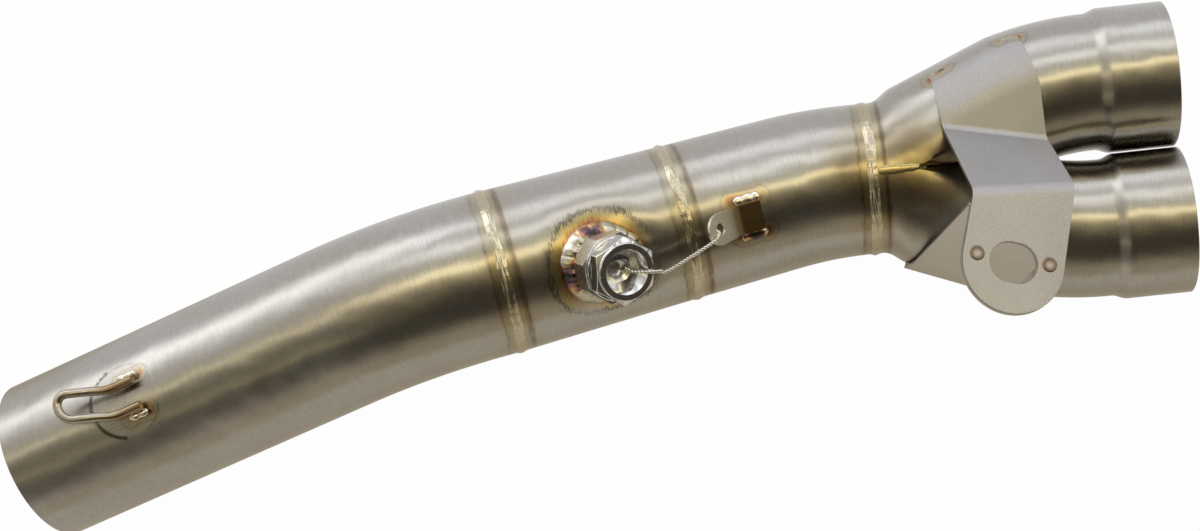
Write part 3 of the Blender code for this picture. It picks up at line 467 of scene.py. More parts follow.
class NodeBench:
    """Makes and joins shader nodes in one material or world."""

    def __init__(self, tree: bpy.types.NodeTree) -> None:
        """Keeps the tree and clears it."""
        self.tree = tree
        tree.nodes.clear()

    def add(self, kind: str, **settings: object) -> bpy.types.Node:
        """Adds a node.

        Args:
            kind: The node's type.
            settings: Its properties.

        Returns:
            The node.
        """
        node = self.tree.nodes.new(kind)
        for name, value in settings.items():
            setattr(node, name, value)
        return node

    def feed(self, socket: Socket, value: Value) -> None:
        """Links an input to a socket, or sets it to a number or a colour."""
        if isinstance(value, Socket):
            self.tree.links.new(value, socket)
        else:
            socket.default_value = value

    def maths(self, operation: str, *values: Value, clamp: bool = False) -> Socket:
        """Adds a Math node.

        Args:
            operation: The node's operation.
            values: Sockets or numbers.
            clamp: Whether the result stays between 0 and 1.

        Returns:
            The result's socket.
        """
        node = self.add("ShaderNodeMath", operation=operation, use_clamp=clamp)
        for socket, value in zip(node.inputs, values):
            self.feed(socket, value)
        return node.outputs[0]

    def above(self, source: Socket, low: float, gain: float) -> Socket:
        """Share from 0 to 1 by which a value passes a level."""
        return self.maths("MULTIPLY", self.maths("SUBTRACT", source, low), gain, clamp=True)

    def axes(self, source: Socket) -> bpy.types.NodeOutputs:
        """Splits a vector into its X, Y and Z."""
        node = self.add("ShaderNodeSeparateXYZ")
        self.feed(node.inputs[0], source)
        return node.outputs

    def noise(self, source: Socket, scale: float, detail: float = 2.0) -> Socket:
        """Adds a noise texture.

        Args:
            source: Coordinates.
            scale: The noise's scale.
            detail: How many finer layers it has.

        Returns:
            The value's socket.
        """
        node = self.add("ShaderNodeTexNoise")
        self.feed(node.inputs["Scale"], scale)
        self.feed(node.inputs["Detail"], detail)
        self.feed(node.inputs["Vector"], source)
        return node.outputs["Fac"]

    def streaks(self, stretch: tuple[float, float, float], detail: float) -> Socket:
        """Adds a noise that is stretched along the skin.

        Args:
            stretch: The noise's scale along the skin, round it and over it.
            detail: How many finer layers it has.

        Returns:
            The value's socket.
        """
        node = self.add("ShaderNodeVectorMath", operation="MULTIPLY")
        self.feed(node.inputs[0], self.add("ShaderNodeUVMap", uv_map=SKIN_UV).outputs["UV"])
        self.feed(node.inputs[1], stretch)
        return self.noise(node.outputs[0], 1.0, detail)

    def ramp(self, source: Socket, stops: Stops) -> bpy.types.Node:
        """Adds a colour ramp.

        Args:
            source: Where the colour is read.
            stops: Places and colours.

        Returns:
            The ramp's node.
        """
        node = self.add("ShaderNodeValToRGB")
        elements = node.color_ramp.elements
        while len(elements) > 1:
            elements.remove(elements[-1])
        elements[0].position, elements[0].color = stops[0]
        for place, colour in stops[1:]:
            elements.new(place).color = colour
        self.feed(node.inputs["Fac"], source)
        return node

    def mix(self, factor: Value, first: Value, second: Value, blend: str = "MIX") -> Socket:
        """Mixes two colours.

        Args:
            factor: Socket or number.
            first: Socket or colour at factor 0.
            second: Socket or colour at factor 1.
            blend: The blend type.

        Returns:
            The mixed colour's socket.
        """
        node = self.add("ShaderNodeMix", data_type="RGBA", blend_type=blend)
        for place, value in ((0, factor), (6, first), (7, second)):
            self.feed(node.inputs[place], value)
        return node.outputs[2]

    def finish(self, kind: str, surface: Socket) -> None:
        """Adds the output node of a material or a world."""
        self.feed(self.add(kind).inputs["Surface"], surface)


def rgb(red: float, green: float, blue: float, alpha: float = 1.0) -> Colour:
    """Writes a linear colour."""
    return (red, green, blue, alpha)


def grey(level: float) -> Colour:
    """Writes a grey."""
    return (level, level, level, 1.0)


@dataclass(frozen=True)
class LineTint:
    """Colours laid on the steel round one kind of line: the oxide that welds leave, and in some tints painted
    shade and painted shadow.
    """

    layer: str
    reach: float
    stops: Stops
    patch_scale: float = 90.0
    patch_amount: float = 0.15
    streak_amount: float = 0.05
    fade: float = 0.0
    streak_stretch: tuple[float, float, float] = (1500.0, 260.0, 1.0)
    thin_scale: float = 34.0
    thin_from: float = 0.42
    thin_gain: float = 5.0

    def laid_over(self, bench: NodeBench, place: Socket, colour: Socket) -> Socket:
        """Lays the tint's colours over the steel by its distance from the tint's lines.

        Args:
            bench: Where the nodes go.
            place: Coordinates on the piece.
            colour: The steel's colour.

        Returns:
            The tinted colour.
        """
        distance = bench.add("ShaderNodeAttribute", attribute_name=self.layer).outputs["Fac"]
        patch = bench.maths("SUBTRACT", bench.noise(place, self.patch_scale), 0.5)
        wander = bench.maths("MULTIPLY", patch, self.patch_amount)
        streak = bench.maths("SUBTRACT", bench.streaks(self.streak_stretch, 2.0), 0.5)
        scatter = bench.maths("MULTIPLY", streak, self.streak_amount)
        share = bench.maths("ADD", bench.maths("DIVIDE", distance, self.reach), wander)
        ramp = bench.ramp(bench.maths("ADD", share, scatter, clamp=True), self.stops)
        thin = bench.above(bench.noise(place, self.thin_scale, 1.0), self.thin_from, self.thin_gain)
        kept = bench.maths("SUBTRACT", 1.0, bench.maths("MULTIPLY", thin, self.fade))
        share = bench.maths("MULTIPLY", ramp.outputs["Alpha"], kept)
        return bench.mix(share, colour, ramp.outputs["Color"])


COOL_STEEL = (1.00, rgb(0.44, 0.42, 0.38, 0.00))
GIRTH_TINT = LineTint(
    GIRTH_HEAT,
    0.013,
    (
        (0.00, rgb(0.44, 0.375, 0.22, 0.80)),
        (0.26, rgb(0.38, 0.32, 0.18, 0.80)),
        (0.345, rgb(0.32, 0.25, 0.14, 0.70)),
        (0.375, rgb(0.14, 0.105, 0.075, 0.70)),
        (0.410, rgb(0.24, 0.20, 0.15, 0.45)),
        (0.460, rgb(0.42, 0.375, 0.29, 0.45)),
        (0.70, rgb(0.43, 0.39, 0.31, 0.32)),
        COOL_STEEL,
    ),
    patch_scale=85.0,
    patch_amount=0.22,
    streak_amount=0.16,
    fade=0.40,
)
# Thin dark oxide line at the edge of the girth welds' heat. The hook pad's patch between the legs uses it
# too, and there the dark colour is soot with painted shadow of the wire.
EDGE_HEAT_AND_SHADE_TINT = LineTint(
    EDGE_HEAT_AND_SHADE,
    0.0019,
    (
        (0.00, rgb(0.115, 0.085, 0.06, 0.88)),
        (0.35, rgb(0.17, 0.125, 0.08, 0.70)),
        (1.00, rgb(0.38, 0.33, 0.25, 0.00)),
    ),
    patch_scale=120.0,
    patch_amount=0.7,
    streak_amount=0.5,
    fade=0.35,
)
# Oxide colours along the branches' seam, with painted shade: the dark band from about a quarter of the reach
# out darkens the valley between the branches.
SEAM_HEAT_AND_SHADE_TINT = LineTint(
    SEAM_HEAT_AND_SHADE,
    0.030,
    (
        (0.00, rgb(0.52, 0.43, 0.20, 0.92)),
        (0.10, rgb(0.40, 0.31, 0.13, 0.90)),
        (0.24, rgb(0.21, 0.16, 0.085, 0.88)),
        (0.42, rgb(0.24, 0.185, 0.11, 0.75)),
        (0.62, rgb(0.38, 0.33, 0.23, 0.45)),
        COOL_STEEL,
    ),
    patch_amount=0.36,
)
BOSS_TINT = LineTint(
    BOSS_HEAT,
    0.018,
    (
        (0.00, rgb(0.26, 0.13, 0.06, 0.95)),
        (0.06, rgb(0.34, 0.15, 0.09, 0.95)),
        (0.12, rgb(0.46, 0.26, 0.07, 0.90)),
        (0.19, rgb(0.47, 0.37, 0.14, 0.88)),
        (0.29, rgb(0.44, 0.37, 0.18, 0.75)),
        (0.335, rgb(0.20, 0.165, 0.11, 0.80)),
        (0.37, rgb(0.09, 0.075, 0.06, 0.85)),
        (0.415, rgb(0.22, 0.19, 0.15, 0.45)),
        (0.47, rgb(0.40, 0.36, 0.28, 0.30)),
        (0.75, rgb(0.43, 0.40, 0.34, 0.18)),
        COOL_STEEL,
    ),
    patch_scale=60.0,
    patch_amount=0.36,
    streak_amount=0.40,
    fade=0.85,
)
SPOT_TINT = LineTint(
    SPOT_HEAT,
    0.008,
    (
        (0.00, rgb(0.19, 0.08, 0.035, 0.94)),
        (0.18, rgb(0.36, 0.15, 0.06, 0.90)),
        (0.30, rgb(0.46, 0.33, 0.14, 0.78)),
        (0.42, rgb(0.42, 0.37, 0.25, 0.50)),
        (0.54, rgb(0.22, 0.18, 0.14, 0.50)),
        (0.64, rgb(0.40, 0.37, 0.30, 0.25)),
        COOL_STEEL,
    ),
    patch_scale=150.0,
    patch_amount=0.55,
    streak_amount=0.10,
    fade=0.25,
)
# Near-black line along the left rim of the hook's pad: soot, with painted shadow under the pad's raised edge.
SOOT_AND_SHADOW_TINT = LineTint(
    SOOT_AND_SHADOW_EDGE,
    0.0013,
    (
        (0.00, rgb(0.04, 0.035, 0.03, 0.97)),
        (0.45, rgb(0.07, 0.06, 0.05, 0.85)),
        (1.00, rgb(0.36, 0.34, 0.30, 0.00)),
    ),
    patch_scale=160.0,
    patch_amount=0.5,
)
RING_TINT = LineTint(
    RING_HEAT,
    0.0017,
    (
        (0.00, rgb(0.13, 0.085, 0.055, 0.94)),
        (0.30, rgb(0.18, 0.12, 0.08, 0.82)),
        (0.60, rgb(0.30, 0.24, 0.19, 0.45)),
        (1.00, rgb(0.42, 0.40, 0.38, 0.00)),
    ),
    patch_scale=400.0,
    patch_amount=0.3,
)
HOOK_TINT = LineTint(
    SPOT_HEAT,
    0.013,
    (
        (0.00, rgb(0.40, 0.32, 0.12, 0.90)),
        (0.20, rgb(0.25, 0.145, 0.05, 0.92)),
        (0.48, rgb(0.28, 0.18, 0.08, 0.85)),
        (0.72, rgb(0.36, 0.29, 0.19, 0.60)),
        COOL_STEEL,
    ),
    patch_scale=70.0,
    patch_amount=0.5,
    fade=0.3,
)
TAB_TINT = LineTint(
    SPOT_HEAT,
    0.016,
    (
        (0.00, rgb(0.28, 0.18, 0.05, 0.92)),
        (0.16, rgb(0.17, 0.10, 0.03, 0.93)),
        (0.30, rgb(0.22, 0.15, 0.06, 0.88)),
        (0.40, rgb(0.34, 0.27, 0.15, 0.70)),
        (0.60, rgb(0.46, 0.42, 0.31, 0.40)),
        (1.00, rgb(0.44, 0.41, 0.34, 0.00)),
    ),
)
SILVER_TEMPER = (
    (0.44, rgb(0.66, 0.62, 0.50, 0.00)),
    (0.50, rgb(0.50, 0.38, 0.17, 0.80)),
    (0.545, rgb(0.36, 0.15, 0.07, 0.92)),
    (0.58, rgb(0.16, 0.08, 0.11, 0.94)),
    (0.65, rgb(0.035, 0.03, 0.03, 0.96)),
)


@dataclass(frozen=True)
class SteelFinish:
    """One stainless steel finish, with its colour, gloss and working marks."""

    name: str
    grain: Grain
    base: Colour
    stain: Colour
    roughness: float
    stain_amount: float = 0.5
    anisotropic: float = 0.0
    tints: tuple[LineTint, ...] = ()
    temper: Stops = ()
    temper_scale: float = 95.0
    mottle: float = 0.12
    stain_scale: float = 26.0
    stain_from: float = 0.38
    stain_gain: float = 3.2
    gloss_spread: float = 0.12
    mark_roughness: float = 0.04

    def material(self) -> bpy.types.Material:
        """Builds the finish's material, or returns it where it is there already."""
        known = bpy.data.materials.get(self.name)
        if known:
            return known
        material = bpy.data.materials.new(self.name)
        material.use_nodes = True
        bench = NodeBench(material.node_tree)
        shader = bench.add("ShaderNodeBsdfPrincipled")
        bench.finish("ShaderNodeOutputMaterial", shader.outputs[0])
        place = bench.add("ShaderNodeTexCoord").outputs["Object"]
        marks, height, reach = self.working_marks(bench, place)
        patches = bench.noise(place, self.stain_scale, 4.0)
        stained = bench.above(patches, self.stain_from, self.stain_gain)
        colour = bench.mix(bench.maths("MULTIPLY", stained, self.stain_amount), self.base, self.stain)
        shade = ((0.32, grey(1.0 - self.mottle)), (0.68, grey(1.0 + self.mottle * 0.5)))
        colour = bench.mix(1.0, colour, bench.ramp(marks, shade).outputs["Color"], "MULTIPLY")
        if self.temper:
            temper = bench.ramp(bench.noise(place, self.temper_scale), self.temper)
            colour = bench.mix(temper.outputs["Alpha"], colour, temper.outputs["Color"])
        for tint in self.tints:
            colour = tint.laid_over(bench, place, colour)
        smoothest = self.roughness - self.gloss_spread / 2
        gloss = bench.maths("MULTIPLY_ADD", patches, self.gloss_spread, smoothest)
        bump = bench.add("ShaderNodeBump")
        bench.feed(bump.inputs["Distance"], reach)
        bench.feed(bump.inputs["Height"], height)
        inputs = {
            "Metallic": 1.0,
            "Anisotropic": self.anisotropic,
            "Base Color": colour,
            "Roughness": bench.maths("ADD", gloss, bench.maths("MULTIPLY", marks, self.mark_roughness)),
            "Normal": bump.outputs["Normal"],
        }
        if self.anisotropic:
            tangent = bench.add("ShaderNodeTangent", direction_type="UV_MAP", uv_map=SKIN_UV)
            inputs["Tangent"] = tangent.outputs["Tangent"]
        for name, value in inputs.items():
            bench.feed(shader.inputs[name], value)
        return material

    def working_marks(self, bench: NodeBench, place: Socket) -> tuple[Socket, Socket, float]:
        """Adds the marks that the surface's working left.

        Args:
            bench: Where the nodes go.
            place: Coordinates on the piece.

        Returns:
            The marks' shade, their height, and the height's size in metres.
        """
        if self.grain is Grain.BELT_POLISHED:
            lines = bench.maths("MULTIPLY", bench.streaks((2200.0, 90.0, 1.0), 3.0), 0.65)
            marks = bench.maths("ADD", lines, bench.maths("MULTIPLY", bench.noise(place, 420.0, 3.0), 0.35))
            return marks, bench.maths("MULTIPLY_ADD", marks, 0.007, bench.noise(place, 34.0)), 0.0011
        if self.grain is Grain.MILL_SHEET:
            speckle = bench.noise(place, 1700.0, 4.0)
            return speckle, bench.maths("MULTIPLY_ADD", speckle, 0.22, bench.noise(place, 60.0)), 0.00014
        shade, detail, relief, reach = PLAIN_MARKS[self.grain]
        return bench.noise(place, shade, detail), bench.noise(place, relief), reach


# Scale and detail of the marks' shade, scale of their height, and the height's size
PLAIN_MARKS = {
    Grain.FUSED_BEAD: (900.0, 3.0, 1300.0, 0.00005),
    Grain.TURNED_FACE: (700.0, 2.0, 400.0, 0.000004),
    Grain.DRAWN_WIRE: (500.0, 2.0, 500.0, 0.00002),
}
TUBE_TINTS = (SEAM_HEAT_AND_SHADE_TINT, GIRTH_TINT, EDGE_HEAT_AND_SHADE_TINT, BOSS_TINT, SPOT_TINT, RING_TINT, SOOT_AND_SHADOW_TINT)
TUBE_STEEL = SteelFinish(
    "belt_polished_tube",
    Grain.BELT_POLISHED,
    rgb(0.455, 0.445, 0.425),
    rgb(0.405, 0.380, 0.335),
    0.25,
    anisotropic=0.7,
    tints=TUBE_TINTS,
)
HOOK_STEEL = SteelFinish(
    "bent_hook_wire", Grain.DRAWN_WIRE, rgb(0.47, 0.44, 0.39), rgb(0.38, 0.33, 0.25), 0.17, tints=(HOOK_TINT,)
)
SHEET_STEEL = SteelFinish(
    "mill_finish_sheet",
    Grain.MILL_SHEET,
    rgb(0.410, 0.404, 0.410),
    rgb(0.360, 0.350, 0.346),
    0.43,
    tints=(SPOT_TINT, RING_TINT),
    mottle=0.13,
)
# The same sheet steel as the upper strap, painted lighter: painted light for the lower strap, which sits in
# shade under the flange.
DOUBLER_STEEL_PAINTED_LIGHTER = SteelFinish(
    "mill_finish_doubler_painted_lighter",
    Grain.MILL_SHEET,
    rgb(0.62, 0.60, 0.58),
    rgb(0.55, 0.53, 0.50),
    0.38,
    tints=(SPOT_TINT,),
)
TAB_STEEL = SteelFinish(
    "heated_tab_sheet",
    Grain.MILL_SHEET,
    rgb(0.68, 0.65, 0.54),
    rgb(0.60, 0.55, 0.42),
    0.26,
    tints=(TAB_TINT,),
)
SEAM_STEEL = SteelFinish(
    "golden_weld_bead", Grain.FUSED_BEAD, rgb(0.52, 0.44, 0.23), rgb(0.40, 0.30, 0.13), 0.16, 0.7
)
BEAD_STEEL = SteelFinish(
    "straw_weld_bead", Grain.FUSED_BEAD, rgb(0.57, 0.53, 0.42), rgb(0.42, 0.35, 0.21), 0.15, 0.7
)
BRIGHT_BEAD = SteelFinish(
    "bright_weld_bead",
    Grain.FUSED_BEAD,
    rgb(0.56, 0.54, 0.47),
    rgb(0.42, 0.36, 0.25),
    0.13,
    0.7,
    temper=SILVER_TEMPER,
)
CLEAN_BEAD = SteelFinish(
    "clean_weld_bead", Grain.FUSED_BEAD, rgb(0.78, 0.76, 0.70), rgb(0.66, 0.58, 0.42), 0.15, 0.6
)
TURNED_STEEL = SteelFinish(
    "machined_plug_steel", Grain.TURNED_FACE, rgb(0.71, 0.72, 0.75), rgb(0.63, 0.63, 0.64), 0.10
)
BOSS_STEEL = SteelFinish(
    "machined_boss_steel", Grain.TURNED_FACE, rgb(0.78, 0.79, 0.84), rgb(0.68, 0.67, 0.68), 0.24
)
WIRE_STEEL = SteelFinish(
    "twisted_wire_steel", Grain.DRAWN_WIRE, rgb(0.80, 0.79, 0.77), rgb(0.62, 0.60, 0.56), 0.18
)


# The pipe's line, and the lines round which the steel is tinted: weld oxide, with soot and painted shade


@dataclass(frozen=True)
class PipeLine:
    """Centre line behind the collector, found from the mouth backwards."""

    outlet_straight: float = 0.1390
    outlet_bend_radius: float = 0.1650
    outlet_tail: float = 0.0072
    sensor_length: float = 0.0727
    front_straight: float = 0.0425
    front_bend_radius: float = 0.1500
    front_tail: float = 0.0051
    middle: Vector = field(default_factory=lambda: heading(math.radians(9.9), math.radians(-6.1)))
    outlet: Vector = field(default_factory=lambda: heading(math.radians(16.9), math.radians(13.8)))
    bend_steps: int = 40

    def front_points(self) -> Ring:
        """Points of the front tube, from the mouth to the neck."""
        points = [ORIGIN, -FORWARD * self.front_tail]
        points += arc(points[-1], -FORWARD, -self.middle, self.front_bend_radius, self.bend_steps)
        return points + [points[-1] - self.middle * self.front_straight]

    def neck(self) -> Vector:
        """Centre of the joint between the front tube and the sensor tube."""
        return self.front_points()[-1]

    def joint(self) -> Vector:
        """Centre of the joint between the sensor tube and the outlet tube."""
        return self.neck() - self.middle * self.sensor_length

    def outlet_points(self) -> Ring:
        """Points of the outlet tube, from its joint to its rim."""
        joint = self.joint()
        points = [joint, joint - self.middle * self.outlet_tail]
        points += arc(points[-1], -self.middle, -self.outlet, self.outlet_bend_radius, self.bend_steps)
        return points + [points[-1] - self.outlet * self.outlet_straight]

    def rim(self) -> Vector:
        """Centre of the outlet's rim."""
        return self.outlet_points()[-1]

    def sensor_radius(self, run: float) -> float:
        """Outer radius of the sensor tube, at a run from its outlet end."""
        share = run / self.sensor_length
        return (OUTLET_DIAMETER + (NECK_DIAMETER - OUTLET_DIAMETER) * share) / 2

    def front_radius(self, run: float) -> float:
        """Outer radius of the front tube, at a run from the neck."""
        bend = self.front_bend_radius * self.middle.angle(FORWARD)
        share = run / (self.front_straight + bend + self.front_tail)
        return (NECK_DIAMETER + (MOUTH_DIAMETER - NECK_DIAMETER) * share) / 2


class TintLineMap:
    """Distances from the weld lines and the lines of painted shade, which colour the steel round them."""

    def __init__(self) -> None:
        """Starts with no lines."""
        self.lines: dict[str, Ring] = {layer: [] for layer in TINT_LAYERS}

    def add(self, layer: str, points: Ring, spacing: float = 0.0006, cyclic: bool = False) -> None:
        """Adds a weld line or a line of painted shade, as closely spaced points."""
        self.lines[layer] += resampled(points + points[:1] if cyclic else points, spacing)

    def paint(self, mesh: bpy.types.Mesh) -> None:
        """Writes each vertex's distance from the nearest line of each kind."""
        for layer, points in self.lines.items():
            tree = kdtree.KDTree(len(points))
            for index, point in enumerate(points):
                tree.insert(point, index)
            tree.balance()
            attribute = mesh.attributes.new(layer, "FLOAT", "POINT")
            values = [min(tree.find(vert.co)[2], FAR_FROM_LINES) for vert in mesh.vertices]
            attribute.data.foreach_set("value", values)


@dataclass(frozen=True)
class WeldDish:
    """The shallow dish that a boss's weld draws into the tube round it."""

    foot: Vector
    axis: Vector
    depth: float = 0.0011
    inner: float = 0.0150
    outer: float = 0.0270

    def sink(self, place: Vector) -> float:
        """Depth of the dish at a place."""
        reach = place - self.foot
        over = reach.dot(self.axis)
        if over < -self.outer:
            return 0.0
        away = (reach - self.axis * over).length
        return self.depth * (1.0 - ease((away - self.inner) / (self.outer - self.inner)))


@dataclass(frozen=True)
class Puddles:
    """Size of a short weld that was laid puddle by puddle."""

    half_width: float
    height: float
    lobe: float
    seed: float = 0.0
    seed_step: float = 0.0
    tail: float = 1.0
    route_steps: int = 6
    sections: int = 14
    foot_share: float = 0.9

    def mesh(self, low: Ring, high: Ring, seed: float) -> BMesh:
        """Makes the weld, lying flat on its seat.

        Args:
            low: Line of the weld's middle on its seat.
            high: The same line, lifted along the seat's normals.
            seed: Shifts the puddles' unevenness.

        Returns:
            The closed mesh.
        """
        route = smooth_route(low, self.route_steps)
        lifted = smooth_route(high, self.route_steps)
        total = sum((there - here).length for here, there in zip(route, route[1:]))
        rings = []
        run = 0.0
        for index, (place, above, direction) in enumerate(zip(route, lifted, tangents(route))):
            if index:
                run += (place - route[index - 1]).length
            normal = (above - place).normalized()
            side = direction.cross(normal).normalized()
            puddle = abs(math.sin(math.pi * (run / self.lobe + seed))) ** 0.6
            lump = 1.0 + 0.25 * noise.noise(place * 350.0 + FORWARD * seed)
            near = min(run, total - run)
            end = math.sqrt(max(0.03, 1.0 - max(0.0, 1.0 - near / self.half_width) ** 2))
            narrow = 1.0 + (self.tail - 1.0) * run / total
            wide = self.half_width * (0.80 + 0.20 * puddle) * lump * end * narrow
            tall = self.height * (0.70 + 0.30 * puddle) * lump * (0.3 + 0.7 * end)
            ring = []
            for step in range(self.sections + 1):
                angle = math.pi * step / self.sections
                ring.append(place + side * (wide * math.cos(angle)) + normal * (tall * math.sin(angle)))
            for share in (-self.foot_share, self.foot_share):
                ring.append(place + side * (wide * share) - normal * BEAD_ROOT)
            rings.append(ring)
        return skin_mesh(rings, capped=True)


@dataclass
class Workshop:
    """What every sub-assembly needs: the pipe's line, the map of weld lines and painted shade lines, and the
    welds' dishes.
    """

    line: PipeLine = field(default_factory=PipeLine)
    tint_lines: TintLineMap = field(default_factory=TintLineMap)
    dishes: dict[str, WeldDish] = field(default_factory=dict)

    def publish(
        self, name: str, bm: BMesh, finish: SteelFinish, slot: Slot, sharp: float = 32.0, in_cad: bool = True
    ) -> None:
        """Puts a finished piece into the scene.

        Args:
            name: The piece's name, which is also its CAD node's.
            bm: Its mesh, in the pipe's frame.
            finish: Its steel.
            slot: Not used.
            sharp: Angle in degrees above which an edge stays sharp.
            in_cad: Whether the piece stands for a CAD node.
        """
        item = loose_object(f"{name}_finished", bm)
        self.tint_lines.paint(item.data)
        item.data.materials.append(finish.material())
        item.data.shade_smooth()
        item.data.set_sharp_from_angle(angle=math.radians(sharp))
        item.matrix_world = LAY_DOWN
        if finish.grain in (Grain.MILL_SHEET, Grain.TURNED_FACE):
            add_modifier(item, "WEIGHTED_NORMAL", keep_sharp=True)
        nodes = (name,) if in_cad else ()
        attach(item, BODY)
        if nodes:
            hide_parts(*nodes)
        LOG.info("%s: %d faces", name, len(item.data.polygons))

    def lay_beads(
        self, lines: Callable[[float], dict[str, Ring]], puddles: Puddles, *finishes: SteelFinish
    ) -> None:
        """Builds short welds from their lines.

        Args:
            lines: Gives each weld's name and line, at a height over its seat.
            puddles: The welds' size.
            finishes: Their steel, used in turn.
        """
        high = lines(BEAD_RAISE)
        for index, (name, low) in enumerate(lines(0.0).items()):
            bm = puddles.mesh(low, high[name], puddles.seed + puddles.seed_step * index)
            self.publish(name, bm, finishes[index % len(finishes)], Slot.BEAD, BEAD_SHARP)


# Sub-assemblies


@dataclass
class RoundTubes:
    """The three round tubes behind the collector."""

    shop: Workshop
    sides: int = 144
    outer_spacing: float = 0.0014
    inner_spacing: float = 0.0050
    rim_round: float = 0.0003

    def build(self) -> None:
        """Builds the outlet, sensor and front tubes."""
        line = self.shop.line
        wide, neck, mouth = OUTLET_DIAMETER / 2, NECK_DIAMETER / 2, MOUTH_DIAMETER / 2
        self.tube("outlet_tube", line.outlet_points(), wide, wide, OUTLET_WALL)
        self.tube("sensor_tube", [line.joint(), line.neck()], wide, neck, TUBE_WALL)
        self.tube("front_tube", line.front_points(), mouth, neck, TUBE_WALL)

    def ring(self, centre: Vector, axis: Vector, radius: float) -> Ring:
        """One ring of a tube, starting underneath."""
        stand = clock_frame(centre, axis, 0.0, 0.0)
        return [on_tube(stand, 0.0, radius, math.pi + angle) for angle in full_turn(self.sides)]

    def rim(self, line: Ring, axes: Ring, radius: float, drawn_in: float, end: int) -> list[Ring]:
        """Rounds one end of a skin.

        Args:
            line: The skin's centre line.
            axes: The tube's direction at each of its points.
            radius: The skin's radius at this end.
            drawn_in: How much smaller its lip is.
            end: 0 for the first end, -1 for the last.

        Returns:
            The lip and the ring behind it.
        """
        inner = line[1] if end == 0 else line[-2]
        travel = (inner - line[end]).normalized() * self.rim_round
        lip = self.ring(line[end], axes[end], radius - drawn_in)
        return [lip, self.ring(line[end] + travel, axes[end], radius)]

    def tube(self, name: str, points: Ring, first: float, last: float, wall: float) -> None:
        """Builds one tube with its wall.

        Args:
            name: The tube's name.
            points: Its centre line.
            first: Outer radius at the first point.
            last: Outer radius at the last point.
            wall: Wall thickness.
        """
        rings = []
        for inset, spacing in ((0.0, self.outer_spacing), (wall, self.inner_spacing)):
            line = resampled(points, spacing)
            axes = [direction if direction.x > 0 else -direction for direction in tangents(line)]
            count = len(line) - 1
            rows = []
            for index in range(1, count):
                radius = first + (last - first) * index / count - inset
                rows.append(self.ring(line[index], axes[index], radius))
            drawn_in = -self.rim_round if inset else self.rim_round
            head = self.rim(line, axes, first - inset, drawn_in, 0)
            tail = self.rim(line, axes, last - inset, drawn_in, -1)
            rows = head + rows + tail[::-1]
            rings += rows[::-1] if inset else rows
        dish = self.shop.dishes.get(name)
        if dish:
            middle = (points[-1] - points[0]).normalized()
            for ring in rings:
                for index, place in enumerate(ring):
                    spoke = place - points[0] - middle * (place - points[0]).dot(middle)
                    ring[index] = place - spoke.normalized() * dish.sink(place)
        self.shop.publish(name, skin_mesh(rings, along=True), TUBE_STEEL, Slot.TUBE)


